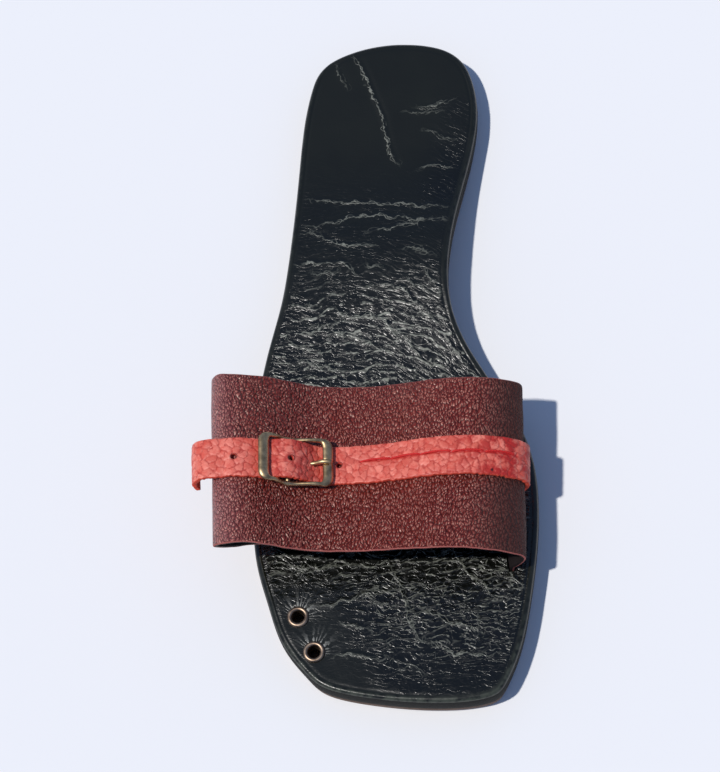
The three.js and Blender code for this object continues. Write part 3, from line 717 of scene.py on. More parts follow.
def highlit_pucker_rays(shader, place):
    """Rays round the eyelets. They raise the leather, and are painted pale as a painted highlight."""
    spokes = shader.math("SINE", shader.times(shader.attribute("turn"), 23))
    spokes = shader.plus(spokes, shader.fade(shader.noise(place, 1.2), 0.3, 0.7, -0.7, 0.7))
    return shader.times(shader.fade(spokes, 0.1, 0.8), shader.attribute("ray"))


def footbed_leather():
    """Black crazed leather: its ridges and folds catch the light, and are painted pale, partly as wear and
    partly as a painted highlight.
    """
    shader = Shader("footbed_leather", Specular_IOR_Level=0.5)
    place = shader.place()
    net, cross, hatch = (shader.attribute(name) for name in ("net", "cross", "hatch"))
    ridges = crazing(shader, place, net, cross, hatch)
    fold = fold_strands(shader, place)
    rays = highlit_pucker_rays(shader, place)
    raised = shader.most(ridges, fold)
    broken = shader.fade(shader.noise(place, 1.6, 3.0, 0.65), 0.38, 0.58, 0.08, 1)
    wear_and_highlight = shader.most(shader.times(shader.fade(ridges, 0.6, 0.95), broken), fold)
    patches = shader.fade(shader.noise(place, 2.5, 3.0), 0.35, 0.6)
    colour = shader.paint(
        shader.mix(shader.noise(place, 14, 3.0), (0.0045, 0.005, 0.0022), (0.0085, 0.0095, 0.005)),
        # Painted shade: darker where the leather is crazed, among the wrinkles
        (net, (0.0015, 0.0018, 0.001)),
        # Ridges and folds painted pale: partly wear, partly a painted highlight
        (shader.times(wear_and_highlight, 0.68), (0.34, 0.35, 0.285)),
        # Painted highlight on the rays round the eyelets
        (rays, (0.42, 0.42, 0.38)),
        # Painted sheen along the rounded toe edge, in patches
        (shader.times(shader.attribute("worn"), patches), (0.045, 0.05, 0.036)),
    )
    beads = shader.times(raised, shader.fade(shader.noise(place, 1.5), 0.3, 0.7, 0.6, 1.1))
    dents = shader.times(shader.noise(shader.stretch(place, (0.7, 1, 1)), 2.2), shader.plus(net, 0.12))
    grain = shader.noise(place, 0.7, 3.0, 0.65)
    height = shader.total((beads, 0.1), (grain, 0.04), (dents, 0.11), (rays, 0.14))
    roughness = shader.plus(shader.fade(net, 0.15, 0.8, 0.29, 0.23), shader.times(raised, 0.1))
    return shader.finish(colour, roughness, height)


def footbed_wall():
    """The footbed's side: the same leather, dull."""
    shader = Shader("footbed_wall", Specular_IOR_Level=0.12)
    place = shader.place()
    patches = shader.noise(place, 5, 3.0)
    colour = shader.mix(patches, (0.004, 0.0045, 0.004), (0.014, 0.0145, 0.012))
    height = shader.total((shader.noise(place, 0.9, 3.0, 0.6), 0.12))
    return shader.finish(colour, 0.7, height)


def outsole_leather():
    shader = Shader("outsole_leather", Specular_IOR_Level=0.35)
    place = shader.place()
    fibres = shader.noise(shader.stretch(place, (1.0, 1.0, 3.0)), 1.2, 3.0, 0.6)
    stains = shader.noise(place, 22, 4.0, 0.6)
    colour = shader.mix(fibres, (0.085, 0.05, 0.035), (0.2, 0.13, 0.09))
    colour = shader.mix(shader.fade(stains, 0.45, 0.75, 0, 0.6), colour, (0.06, 0.04, 0.03))
    height = shader.total((fibres, 0.08), (shader.noise(place, 0.5, 2.0), 0.05))
    return shader.finish(colour, shader.fade(stains, 0.3, 0.7, 0.62, 0.85), height)


def band_leather():
    """Maroon leather with a pebbled grain.

    It has a painted sheen at the outer side, and painted shade where it turns down to the inner slot, where
    it is also rougher.
    """
    shader = Shader("band_leather", Specular_IOR_Level=0.6, Specular_Tint=(1, 0.8, 0.72, 1))
    flat = shader.flat()
    bent = shader.warp(shader.warp(flat, 5.0, 2.6), 1.3, 0.8)
    stretched = shader.stretch(bent, (1.0, 0.62, 1.0), 0.6)
    reach = shader.cells(stretched, PEBBLE, "F1")
    fuller = shader.fade(shader.noise(flat, 6), 0.35, 0.65, 0.75, 1.0)
    pebble = shader.times(shader.math("POWER", reach, 1.7), fuller)
    uneven = shader.fade(shader.noise(flat, 2.2, 3.0), 0.4, 0.62)
    # Painted highlight: the pebbles' tops are painted paler, unevenly
    top = shader.times(shader.fade(reach, 0.1, 0.42, 1, 0), uneven)
    # Painted shade in the ditches between the pebbles
    ditch = shader.fade(shader.cells(stretched, PEBBLE, "DISTANCE_TO_EDGE"), 0.0, 0.16, 1, 0)
    clouds = shader.noise(flat, 16, 3.0)
    along = shader.node("ShaderNodeSeparateXYZ", Vector=flat).outputs["X"]
    outer_sheen = shader.fade(along, *BAND_SHEEN_SPAN, 1, 0)
    # Painted shade where the band turns down to the inner slot; it is also rougher there
    dull = shader.fade(along, *BAND_SHADE_SPAN)
    colour = shader.paint(
        shader.mix(clouds, (0.145, 0.015, 0.0105), (0.205, 0.0265, 0.018)),
        # Painted sheen at the outer side
        (shader.times(outer_sheen, 0.85), (0.36, 0.145, 0.145)),
        # Painted highlight on the pebbles' tops
        (shader.times(top, 0.5), (0.62, 0.23, 0.17)),
        # Painted shade in the ditches between the pebbles
        (shader.times(ditch, 0.85), (0.014, 0.0012, 0.0012)),
        # Painted shade towards the inner slot
        (shader.times(dull, 0.8), (0.02, 0.002, 0.002)),
    )
    height = shader.total((pebble, -0.75), (shader.noise(flat, 0.55), 0.05), (shader.noise(flat, 4), 0.16))
    roughness = shader.plus(shader.fade(clouds, 0.35, 0.65, 0.34, 0.4), shader.times(dull, 0.4))
    return shader.finish(colour, roughness, height)


def raw_edge(name, size, dark, bright, roughness, depth):
    """The raw edge of cut leather, with its fibres."""
    shader = Shader(name, Specular_IOR_Level=0.3)
    fibres = shader.noise(shader.place(), size, 3.0, 0.7)
    return shader.finish(shader.mix(fibres, dark, bright), roughness, shader.total((fibres, depth)))


def cut_edge():
    return raw_edge("band_cut_edge", 0.5, (0.2, 0.04, 0.035), (0.5, 0.16, 0.13), 0.8, 0.12)


def band_lining():
    shader = Shader("band_lining", Specular_IOR_Level=0.2)
    place = shader.place()
    grain = shader.noise(place, 0.7, 3.0, 0.6)
    colour = shader.mix(shader.noise(place, 12, 3.0), (0.008, 0.005, 0.005), (0.016, 0.011, 0.011))
    return shader.finish(colour, 0.6, shader.total((grain, 0.08)))


def strap_leather():
    """Coral leather embossed with scales: redder in the grooves, with blotches and flecks of deeper red."""
    shader = Shader("strap_leather", Specular_IOR_Level=0.4, Coat_Weight=0.08, Coat_Roughness=0.35)
    flat = shader.flat()
    groove = shader.fade(shader.attribute("groove"), 0.05, 0.6, 1, 0)
    blotches = shader.noise(flat, 3.2, 3.0, 0.6)
    flecks = shader.fade(shader.noise(flat, 1.3, 4.0, 0.65), 0.5, 0.66, 0, 0.5)
    deep = shader.fade(shader.noise(flat, 4.0, 3.0, 0.6), 0.42, 0.58)
    worn = shader.fade(shader.noise(flat, 2.4), 0.3, 0.6, 0.2, 0.8)
    colour = shader.paint(
        shader.mix(shader.attribute("tone"), (0.66, 0.115, 0.075), (0.88, 0.25, 0.18)),
        (shader.fade(blotches, 0.45, 0.68, 0, 0.6), (0.66, 0.06, 0.035)),
        (flecks, (0.62, 0.05, 0.03)),
        (shader.times(shader.attribute("red"), deep), (0.44, 0.014, 0.011)),
        (shader.times(groove, worn), (0.4, 0.02, 0.012)),
        (shader.attribute("seam"), (0.45, 0.012, 0.012)),
        # Painted shade round the punched holes and at the pinhole
        (shader.attribute("dark"), (0.02, 0.006, 0.006)),
    )
    height = shader.total((groove, -0.07), (shader.noise(flat, 0.6, 3.0, 0.65), 0.08), (blotches, 0.2))
    return shader.finish(colour, shader.fade(blotches, 0.3, 0.7, 0.42, 0.6), height)


def strap_edge():
    return raw_edge("strap_cut_edge", 0.45, (0.5, 0.025, 0.015), (0.85, 0.12, 0.06), 0.85, 0.15)


def strap_thread():
    shader = Shader("strap_thread", Specular_IOR_Level=0.35)
    settings = {"bands_direction": "DIAGONAL"}
    twist = shader.node("ShaderNodeTexWave", settings, Vector=shader.place(), Scale=0.9).outputs["Fac"]
    colour = shader.mix(twist, (0.48, 0.01, 0.01), (0.75, 0.03, 0.025))
    return shader.finish(colour, 0.6, shader.total((twist, 0.06)))


def aged_metal(name, dark, bright, patina):
    """Metal browned in specks and patches, and rubbed bright in others."""
    shader = Shader(name, Metallic=1.0)
    place = shader.place()
    clouds = shader.noise(place, 3.2, 3.0, 0.55)
    specks = shader.noise(place, 0.6, 3.0, 0.6)
    colour = shader.mix(shader.fade(clouds, 0.35, 0.65), dark, bright)
    colour = shader.mix(shader.fade(specks, 0.55, 0.8, 0, 0.35), colour, patina)
    roughness = shader.fade(clouds, 0.3, 0.7, 0.38, 0.45)
    return shader.finish(colour, roughness, shader.total((specks, 0.012)))


# Creases

CREASE_SAMPLES = 60


def crease_points():
    """Points close together along each crease with its direction there, and its depth fading to both ends."""
    for depth, rows in CREASES:
        across, along = np.array(rows).T
        edges = edges_at(along)
        x = edges[:, 0] + (edges[:, 1] - edges[:, 0]) * across
        curve = path_through(np.stack([x, -along * SOLE_LENGTH], axis=-1))
        shares = np.linspace(0, 1, CREASE_SAMPLES * len(rows))
        points = curve(shares * curve.knots[-1])
        wobble = np.array([noise.noise((p[0] * 0.3, p[1] * 0.3, 7 * depth)) for p in points])
        points[:, 1] += 1.2 * wobble
        ways = unit(np.gradient(points, axis=0))
        strength = depth * np.sin(math.pi * np.clip(shares, 0.02, 0.98)) ** 0.5
        yield from zip(points, ways, strength)


def search_tree(points):
    """Finds the nearest of many flat points."""
    tree = KDTree(len(points))
    for index, point in enumerate(points):
        tree.insert((point[0], point[1], 0), index)
    tree.balance()
    return tree


def crease_field(points):
    """Distance of each point from its nearest crease, signed by its side, and that crease's depth there."""
    rows = list(crease_points())
    tree = search_tree([point for point, _, _ in rows])
    nearest = np.array([tree.find((x, y, 0))[1] for x, y in points])
    starts, ways, depths = (np.array([row[k] for row in rows]) for k in range(3))
    away = points - starts[nearest]
    way = ways[nearest]
    beside = way[:, 0] * away[:, 1] - way[:, 1] * away[:, 0]
    distance = np.linalg.norm(away, axis=1) * np.sign(beside)
    return distance, depths[nearest]


def edge_field(points):
    """Distance of each point from the sole's outline."""
    angles = np.linspace(0, math.pi, 900)
    tree = search_tree(np.concatenate([rim(angles, False, 0.0), rim(angles, True, 0.0)]))
    return np.array([tree.find((x, y, 0))[2] for x, y in points])


def soft_noise(points, size, seed):
    return np.array([noise.noise((x / size, y / size, seed)) for x, y in points])


def crackle(points, size, stretch, seed):
    """Ridges of a net of cells about size across, near 1 on the ridges."""
    values = np.empty(len(points))
    for index, (x, y) in enumerate(points):
        bend_x = noise.noise((x * 0.12, y * 0.12, seed)) * 2.5
        bend_y = noise.noise((x * 0.12, y * 0.12, seed + 5)) * 2.5
        near = noise.voronoi(((x + bend_x) / size / stretch, (y + bend_y) / size, seed))[0]
        values[index] = near[1] - near[0]
    return hump(values, 0.22)


# Footbed

GRID_COLUMNS = 160
GRID_ROWS = 400
WALL_FROM_RING = 4
EDGE_TURNS = (15, 35, 55, 75, 90)
CUT_HEIGHTS = (-5, 4 * FOOTBED_TOP)
DRILL_SIDES = 48


def footbed_grid():
    """Even points over the top, and the ring of their border as angles and sides."""
    s, t = np.meshgrid(np.linspace(-1, 1, GRID_COLUMNS + 1), np.linspace(-1, 1, GRID_ROWS + 1))
    u = s * np.sqrt(1 - t * t / 2)
    v = t * np.sqrt(1 - s * s / 2)
    angle = np.arccos(np.clip(-v, -1, 1))
    share = (u / np.maximum(np.sqrt(1 - v * v), 1e-6) + 1) / 2
    left, right = (rim(angle, side, FOOTBED_EDGE_ROUND) for side in (False, True))
    spots = left + (right - left) * np.clip(share, 0, 1)[..., None]
    columns, rows = GRID_COLUMNS, GRID_ROWS
    ring = [(0, j) for j in range(columns)]
    ring += [(i, columns) for i in range(rows)]
    ring += [(rows, j) for j in range(columns, 0, -1)]
    ring += [(i, 0) for i in range(rows, 0, -1)]
    rows_at, columns_at = np.array(ring).T
    return spots, rows_at, columns_at, angle[rows_at, columns_at], s[rows_at, columns_at] > 0


def eyelet_spots():
    for name, (along, across) in EYELETS.items():
        x, y = across * BALL_WIDTH, -along * SOLE_LENGTH
        yield name, x, y, float(footbed_top(x, y))


def footbed_relief(points):
    """What stands off the smooth top: creases, net, margin line and the puckers round the eyelets."""
    edge = edge_field(points)
    side, depth = crease_field(points)
    along = -points[:, 1] / SOLE_LENGTH
    sides = edges_at(along)
    across = (points[:, 0] - sides[:, 0]) / np.maximum(sides[:, 1] - sides[:, 0], 1e-6)
    net, cross, hatch = Spline([row[0] for row in CRAZE], [row[1:] for row in CRAZE])(along).T
    heel_side = smoothstep(across, 0.68, 0.9) * smoothstep(along, 0.07, 0.12)
    heel_side = heel_side * (1 - smoothstep(along, 0.25, 0.3))
    net = net + 0.45 * heel_side
    toe_corner = (1 - smoothstep(across, 0.2, 0.42)) * smoothstep(along, 0.8, 0.9)
    calm = 1 - 0.75 * toe_corner
    margin = smoothstep(edge, *MARGIN_FADE)
    trough = 0.8 * hump(side - CREASE_APART, CREASE_TROUGH)
    relief = CREASE_HEIGHT * depth * (hump(side, CREASE_RIDGE) - trough)
    ridges = crackle(points, 3.6, 1.15, 3.0) * net + 0.8 * crackle(points, 3.2, 2.6, 9.0) * cross
    relief += CRACKLE_HEIGHT * ridges * calm
    relief *= margin
    relief += 0.35 * soft_noise(points, 28, 1.5) + 0.1 * soft_noise(points, 7, 4.5) * (0.3 + net)
    relief -= MARGIN_DEPTH * hump(edge - MARGIN_LINE, MARGIN_WIDTH)
    ray, ray_turn = np.zeros(len(points)), np.zeros(len(points))
    for _, x, y, _ in eyelet_spots():
        away = points - np.array([x, y])
        radius = np.hypot(away[:, 0], away[:, 1])
        turn = np.arctan2(away[:, 1], away[:, 0])
        towards = np.clip(np.cos(turn - PUCKERS_FACE), 0, 1) ** 0.7
        reach = np.exp(-np.maximum(radius - EYELET_DIAMETER / 2, 0) / PUCKER_REACH)
        relief -= PUCKER_DEPTH * hump(radius, EYELET_DIAMETER * 0.55)
        nearer = reach * towards > ray
        ray = np.where(nearer, reach * towards, ray)
        ray_turn = np.where(nearer, turn + 0.12 * np.sin(5 * turn), ray_turn)
    fold = np.clip(depth / 0.4, 0, 1) * hump(np.abs(side), 1.6)
    # The worn mark is a painted sheen along the rounded toe edge
    worn = (1 - smoothstep(edge, 0.5, 2.4)) * smoothstep(along, *TOE_SHEEN_SPAN)
    marks = {"side": side, "fold": fold * margin, "worn": worn, "ray": ray, "turn": ray_turn}
    for name, strength in (("net", net), ("cross", cross), ("hatch", hatch)):
        marks[name] = strength * margin * calm
    return relief, marks


def sole_cutter(name, rear, front, room_inside, room_outside):
    """An upright box along a line across the footbed."""
    direction = unit(rear - front)
    sideways = np.array([direction[1], -direction[0]])
    corners = []
    for end, push in ((rear, GAP), (front, -GAP)):
        for side in (room_inside, -room_outside):
            corners.append(end + direction * push + sideways * side)
    order = [corners[0], corners[1], corners[3], corners[2]]
    points = [(*corner, z) for z in CUT_HEIGHTS for corner in order]
    faces = [(0, 1, 2, 3), (7, 6, 5, 4), (0, 4, 5, 1), (1, 5, 6, 2), (2, 6, 7, 3), (3, 7, 4, 0)]
    return outward(make_piece(name, points, faces, []))


def outward(piece):
    """Turns a closed mesh's faces outwards."""
    mesh = piece.data
    corners = np.array([[mesh.vertices[i].co for i in polygon.vertices[:3]] for polygon in mesh.polygons])
    middle = np.mean([vertex.co for vertex in mesh.vertices], axis=0)
    normals = np.array([polygon.normal for polygon in mesh.polygons])
    areas = np.array([polygon.area for polygon in mesh.polygons])
    if np.sum(areas * np.sum(normals * (corners[:, 0] - middle), axis=1)) < 0:
        mesh.flip_normals()
    return piece


def drill(name, x, y, radius):
    """An upright rod through the footbed."""
    points = [(x, y, z) for z in np.linspace(*CUT_HEIGHTS, 3)]
    return outward(make_piece(name, *rod(points, radius, DRILL_SIDES), []))


def footbed_levels():
    """The rings of the footbed's side from the top down: inset, height, and how much the side swells."""
    levels = []
    for turn in np.radians(EDGE_TURNS):
        drop = FOOTBED_EDGE_ROUND * (1 - math.cos(turn))
        levels.append((FOOTBED_EDGE_ROUND * (1 - math.sin(turn)), FOOTBED_TOP - drop, 0))
    levels.append((-0.1, FOOTBED_TOP - 0.4 * FOOTBED_THICKNESS, 1))
    levels.append((-0.08, FOOTBED_BASE + 0.35 * FOOTBED_THICKNESS, 1))
    levels.append((0.05, FOOTBED_BASE + 0.7, 0))
    levels.append((0.35, FOOTBED_BASE, 0))
    return levels


def footbed_rings(levels, angles, inner):
    rings = []
    for inset, height, swell in levels:
        spot = rim(angles, inner, inset)
        wave = soft_noise(spot, 6, height) * 0.1 + swell * 0.05 * soft_noise(spot, 2.0, height)
        wave = wave * (height > FOOTBED_BASE)
        rings.append(np.column_stack([spot, lift(spot[:, 0], spot[:, 1]) + height + wave]))
    return np.concatenate(rings)


def footbed_cutters():
    """Solids to cut the slots for the band and the strap, and the eyelets' holes."""
    outer, inner = slots
    strap_ends = [inner[0] + (inner[1] - inner[0]) * lane_share(1.0, side) for side in (-1, 1)]
    cutters = [
        sole_cutter("slot_outer", *outer, BAND_WALL + GAP, GAP),
        sole_cutter("slot_inner", *inner, GAP, BAND_WALL + GAP),
        sole_cutter("slot_strap", *strap_ends, 2 * GAP + STRAP_THICKNESS, GAP),
    ]
    radius = EYELET_BORE / 2 + EYELET_BARREL_WALL + GAP
    for name, x, y, _ in eyelet_spots():
        cutters.append(drill(name + "_drill", x, y, radius))
    return cutters


def make_footbed(materials):
    """The top with its relief, the rings of its side and a flat underside, with slots and holes cut out."""
    spots, rows_at, columns_at, angles, inner = footbed_grid()
    flat = spots.reshape(-1, 2)
    relief, marks = footbed_relief(flat)
    top = np.column_stack([flat, footbed_top(flat[:, 0], flat[:, 1]) + relief])
    columns = GRID_COLUMNS + 1
    border = rows_at * columns + columns_at
    levels = footbed_levels()
    rings = footbed_rings(levels, angles, inner)
    count = len(border)
    points = np.concatenate([top, rings])
    faces = [face[::-1] for face in grid_faces(GRID_ROWS + 1, columns)]
    start = len(top)
    for j in range(count):
        k = (j + 1) % count
        faces.append((border[j], border[k], start + k, start + j))
    faces += grid_faces(len(levels), count, start, close=True)
    faces += ladder(start + (len(levels) - 1) * count, count, GRID_COLUMNS // 2, False)
    top_faces = GRID_ROWS * GRID_COLUMNS + WALL_FROM_RING * count
    kinds = [0] * top_faces + [1] * (len(faces) - top_faces)
    piece = make_piece("footbed_dressed", points, faces, materials, kinds)
    # The rounded edge gets the same painted sheen, strongest at the toe
    toe_share = smoothstep(-rings[:, 1] / SOLE_LENGTH, *TOE_SHEEN_SPAN)
    upper = np.repeat([height for _, height, _ in levels], count) > FOOTBED_TOP - SHEEN_DOWN_TO
    nothing = np.zeros(len(rings))
    on_rings = {"net": nothing + 0.2, "side": nothing + 9, "worn": (0.2 + 0.8 * toe_share) * upper}
    for name, values in marks.items():
        set_attribute(piece, name, np.concatenate([values, on_rings.get(name, nothing)]))
    slant = WRINKLE_SLANT * np.logaddexp(0, (points[:, 0] - WRINKLE_TURN) / WRINKLE_BEND) * WRINKLE_BEND
    slant *= 1 - smoothstep(-points[:, 1] / SOLE_LENGTH, 0.6, 0.75)
    set_map(piece, points[:, 0], points[:, 1] + slant)
    cut(outward(piece), footbed_cutters())
    return piece


# Outsole

OUTSOLE_STATIONS = 360

# The rings of the outsole's side from the top down: share of OUTSOLE_INSET inwards, and height
OUTSOLE_LEVELS = [
    (4, OUTSOLE_THICKNESS),
    (1.4, OUTSOLE_THICKNESS),
    (1, OUTSOLE_THICKNESS - 0.4 * OUTSOLE_INSET),
    (0.9, OUTSOLE_THICKNESS / 2),
    (1, 1.2 * OUTSOLE_INSET),
    (1.1, 0.4 * OUTSOLE_INSET),
    (1.6, 0),
    (4, 0),
]


def make_outsole(material):
    half = OUTSOLE_STATIONS // 2
    angles = math.pi * np.concatenate([np.arange(half + 1), np.arange(half - 1, 0, -1)]) / half
    inner = np.arange(OUTSOLE_STATIONS) <= half
    rings = []
    for inset_share, height in OUTSOLE_LEVELS:
        spot = rim(angles, inner, inset_share * OUTSOLE_INSET)
        wave = 0.06 * soft_noise(spot, 3.0, height) * (0 < height < OUTSOLE_THICKNESS)
        rings.append(np.column_stack([spot, lift(spot[:, 0], spot[:, 1]) + height + wave]))
    faces = grid_faces(len(rings), OUTSOLE_STATIONS, close=True)
    faces += ladder(0, OUTSOLE_STATIONS, 0, True)
    faces += ladder((len(rings) - 1) * OUTSOLE_STATIONS, OUTSOLE_STATIONS, 0, False)
    return outward(make_piece("outsole_dressed", np.concatenate(rings), faces, [material]))


# Band

def band_line(forward):
    return BAND_FROM * SOLE_LENGTH + forward * BAND_WIDTH


def slot_ends(row, inner):
    """The rear and front ends of a slot."""
    ends = []
    for rows, ahead in ((BAND_REAR, 0), (BAND_FRONT, 1)):
        along = band_line(rows[row][2] + ahead)
        edge = edges_at(along / SOLE_LENGTH)[1 if inner else 0]
        ends.append(np.array([edge - SLOT_INSET if inner else edge + SLOT_INSET, -along]))
    return ends


slots = [slot_ends(0, False), slot_ends(-1, True)]


def band_edge_points(rows, ahead, outer, inner):
    base = [float(footbed_top(*outer)), float(footbed_top(*inner))]
    points = []
    for across, up, forward in rows:
        share = min(max(across, 0), 1)
        x = outer[0] + (inner[0] - outer[0]) * across
        z = base[0] + (base[1] - base[0]) * share + up * BAND_RISE
        points.append((x, -band_line(forward + ahead), z))
    drop = np.array([0, 0, FOOTBED_THICKNESS])
    return np.array([points[0] - drop, *points, points[-1] - drop])


rear_points = band_edge_points(BAND_REAR, 0, slots[0][0], slots[1][0])
front_points = band_edge_points(BAND_FRONT, 1, slots[0][1], slots[1][1])
band_steps = np.sqrt(np.linalg.norm(np.diff((rear_points + front_points) / 2, axis=0), axis=1))
band_knots = np.concatenate([[0], np.cumsum(band_steps)]) / np.sum(band_steps)
rear_edge = Spline(band_knots, rear_points)
front_edge = Spline(band_knots, front_points)


def band_point(u, t):
    """A point of the band's outer face: u from tab to tab, t from the rear edge to the front."""
    rear, front = rear_edge(u), front_edge(u)
    return rear + (front - rear) * np.asarray(t)[..., None]


def band_normal(u, t):
    step = 0.002
    along = band_point(np.minimum(u + step, 1), t) - band_point(np.maximum(u - step, 0), t)
    forward = band_point(u, np.ones_like(t)) - band_point(u, np.zeros_like(t))
    return unit(np.cross(forward, along))


def lane_share(u, side):
    """Where the strap's lane crosses the band, as t."""
    y = -(band_line(STRAP_FORWARD) + side * STRAP_WIDTH / 2)
    rear, front = rear_edge(u)[..., 1], front_edge(u)[..., 1]
    return (y - rear) / (front - rear)


BAND_STATIONS = 420
BAND_LANES = 76
BAND_SAMPLES = 4000


def even_stations(count):
    """Values of u that are evenly spaced along the band's middle, and its length."""
    fine = np.linspace(0, 1, BAND_SAMPLES)
    reach = reach_along(band_point(fine, np.full_like(fine, 0.5)))
    return np.interp(np.linspace(0, reach[-1], count), reach, fine), reach[-1]


def make_band(leather, edge, lining):
    """One wall of leather, from sections round its outer face, front edge, lining and rear edge."""
    u, length = even_stations(BAND_STATIONS)
    lanes = np.concatenate([[0.004], np.linspace(0.012, 0.988, BAND_LANES), [0.996]])
    section = [(t, 0.0) for t in lanes]
    section[0], section[-1] = (0.004, 0.05), (0.996, 0.05)
    section += [(1.0, 0.15), (1.0, 0.4), (1.0, 0.43), (0.997, 0.95)]
    section += [(t, 1.0) for t in lanes[::-4]]
    section += [(0.003, 0.95), (0.0, 0.43), (0.0, 0.4), (0.0, 0.15)]
    t, depth = np.array(section).T
    count = len(section)
    grid_u = np.repeat(u[:, None], count, axis=1)
    grid_t = np.repeat(t[None], len(u), axis=0)
    along = np.linspace(0, length, len(u))[:, None] * np.ones_like(grid_t)
    across = grid_t * BAND_WIDTH
    flat = np.stack([along.ravel(), across.ravel()], axis=-1)
    sag = 0.35 * soft_noise(flat, 24, 2.5) + 0.12 * soft_noise(flat, 7, 6.5)
    calm_from, calm_to = BAND_CALM_ENDS
    sag = sag.reshape(grid_t.shape) * smoothstep(along, calm_from, calm_to)
    sag *= 1 - smoothstep(along, length - calm_to, length - calm_from)
    nick = 0.25 * soft_noise(flat, 5, 8.5).reshape(grid_t.shape) * (np.abs(grid_t - 0.5) > 0.48)
    points = band_point(grid_u, grid_t) + band_normal(grid_u, grid_t) * (sag - depth * BAND_WALL)[..., None]
    points = points + np.array([0, 1, 0]) * nick[..., None]
    faces = grid_faces(len(u), count, close=True) + end_faces(len(u), count)
    first_edge = len(lanes) - 1
    kind = np.full(count, 1)
    kind[:first_edge] = 0
    kind[first_edge + 3 : count - 3] = 2
    kinds = kind.tolist() * (len(u) - 1) + [2, 2]
    piece = make_piece("band_dressed", points.reshape(-1, 3), faces, [leather, edge, lining], kinds)
    set_map(piece, along.ravel(), across.ravel())
    return outward(piece)


# Strap

SPINE_SAMPLES = 6000


def strap_spine():
    """Values of u along the band under the strap's middle, and how far along they are."""
    fine = np.linspace(0, 1, SPINE_SAMPLES)
    return fine, reach_along(band_point(fine, lane_share(fine, 0)))


spine_shares, spine_reach = strap_spine()
spine_length = spine_reach[-1]
buckle_distance = BUCKLE_AT * spine_length
bar_distance = buckle_distance - CENTRE_BAR_OFFSET
eye_radius = CENTRE_BAR_DIAMETER / 2 + GAP + PRONG_EYE_WALL


def spine_share(distance):
    return np.interp(distance, spine_reach, spine_shares)


def strap_height(distance):
    """How high the strap's underside is above the band: it rides over the buckle's centre bar."""
    side = np.where(distance > bar_distance, CENTRE_BAR_OFFSET, -CENTRE_BAR_OFFSET)
    reach = BUCKLE_LENGTH / 2 - END_BAR_WIDTH / 2 + side + BRIDGE_PAST_BARS
    return GAP + (2 * eye_radius + GAP) * arch(distance - bar_distance, reach)


STRAP_STATIONS = 520
STRAP_LANES = 40


def strap_line(side):
    """The strap's underside on one lane, from the inner slot to the end of the tail, and its distances."""
    distance = np.linspace(spine_length, TAIL_LEAVES_AT * spine_length, 500)
    u = spine_share(distance)
    t = lane_share(u, side)
    points = band_point(u, t) + band_normal(u, t) * strap_height(distance)[:, None]
    tail = [points[-1] + np.array([-out * TAIL_REACH, 0, -down * TAIL_DROP]) for out, down in TAIL]
    curve = path_through(np.concatenate([points[::6], points[-1:], tail]))
    fine = curve(np.linspace(0, curve.knots[-1], SPINE_SAMPLES))
    return fine, reach_along(fine)


def strap_points(sides, count):
    """Lanes of the strap's underside, each with the same count of even stations."""
    lanes = []
    for side in sides:
        fine, reach = strap_line(side)
        lanes.append(at_reach(fine, reach, np.linspace(0, reach[-1], count)))
    return np.stack(lanes, axis=1)


strap_middle, strap_middle_reach = strap_line(0.0)
strap_length = strap_middle_reach[-1]


def strap_frame(distance):
    """A point of the strap's underside in its middle, and the direction up through the strap."""
    behind, point, ahead = at_reach(strap_middle, strap_middle_reach, distance + np.array([-0.5, 0, 0.5]))
    return point, unit(np.cross(ahead - behind, np.array([0, -1.0, 0])))


def distance_at(x):
    """How far along the strap's upper stretch a place across the sole is."""
    right, left = int(strap_middle[:, 0].argmax()), int(strap_middle[:, 0].argmin())
    return float(np.interp(x, strap_middle[right:left, 0][::-1], strap_middle_reach[right:left][::-1]))


def stitch_ends():
    return distance_at(STITCH_TO * BALL_WIDTH), distance_at(STITCH_FROM * BALL_WIDTH)


# Buckle

def band_under(distance):
    u = np.array(spine_share(distance))
    return band_point(u, lane_share(u, 0))


end_reach = (BUCKLE_LENGTH - END_BAR_WIDTH) / 2
outer_seat, inner_seat = (band_under(buckle_distance + end * end_reach) for end in (-1, 1))
buckle_x = unit(inner_seat - outer_seat)
buckle_u = np.array(spine_share(buckle_distance))
rearwards = band_point(buckle_u, 0.0) - band_point(buckle_u, 1.0)
buckle_z = unit(np.cross(buckle_x, rearwards))
buckle_y = np.cross(buckle_z, buckle_x)
buckle_axes = np.stack([buckle_x, buckle_y, buckle_z])
buckle_origin = (outer_seat + inner_seat) / 2

strap_at_ends = max(float(strap_height(buckle_distance + end * end_reach)) for end in (-1, 1))
end_height = strap_at_ends + STRAP_THICKNESS + BUCKLE_PLAY + END_BAR_HEIGHT / 2
bar_on_band = buckle_axes @ (band_under(bar_distance) - buckle_origin)
bar_x, bar_z = bar_on_band[0], bar_on_band[2] + GAP + eye_radius
rail_reach = STRAP_WIDTH / 2 + BUCKLE_SIDE_PLAY + RAIL_WIDTH / 2
notch_height = end_height + END_BAR_HEIGHT / 2 - NOTCH_DEPTH + GAP + PRONG_DIAMETER / 2


def on_buckle(points):
    """Points in the buckle's own axes, given in the sandal's."""
    return np.asarray(points) @ buckle_axes + buckle_origin


BUCKLE_STATIONS = 260
BUCKLE_SIDES = 28
SHANK_STATIONS = 60
EYE_STATIONS = 40
EYE_SIDES = 16


def rounded_loop(half_x, half_y, corner, count):
    """Even points round a rectangle with round corners."""
    points = []
    for cx, cy, start in ((1, -1, -90), (1, 1, 0), (-1, 1, 90), (-1, -1, 180)):
        for turn in np.radians(start + np.linspace(0, 90, 24)):
            middle = np.array([cx * (half_x - corner), cy * (half_y - corner)])
            points.append(middle + corner * np.array([math.cos(turn), math.sin(turn)]))
    points.append(points[0])
    reach = reach_along(points)
    return at_reach(points, reach, np.linspace(0, reach[-1], count, endpoint=False))


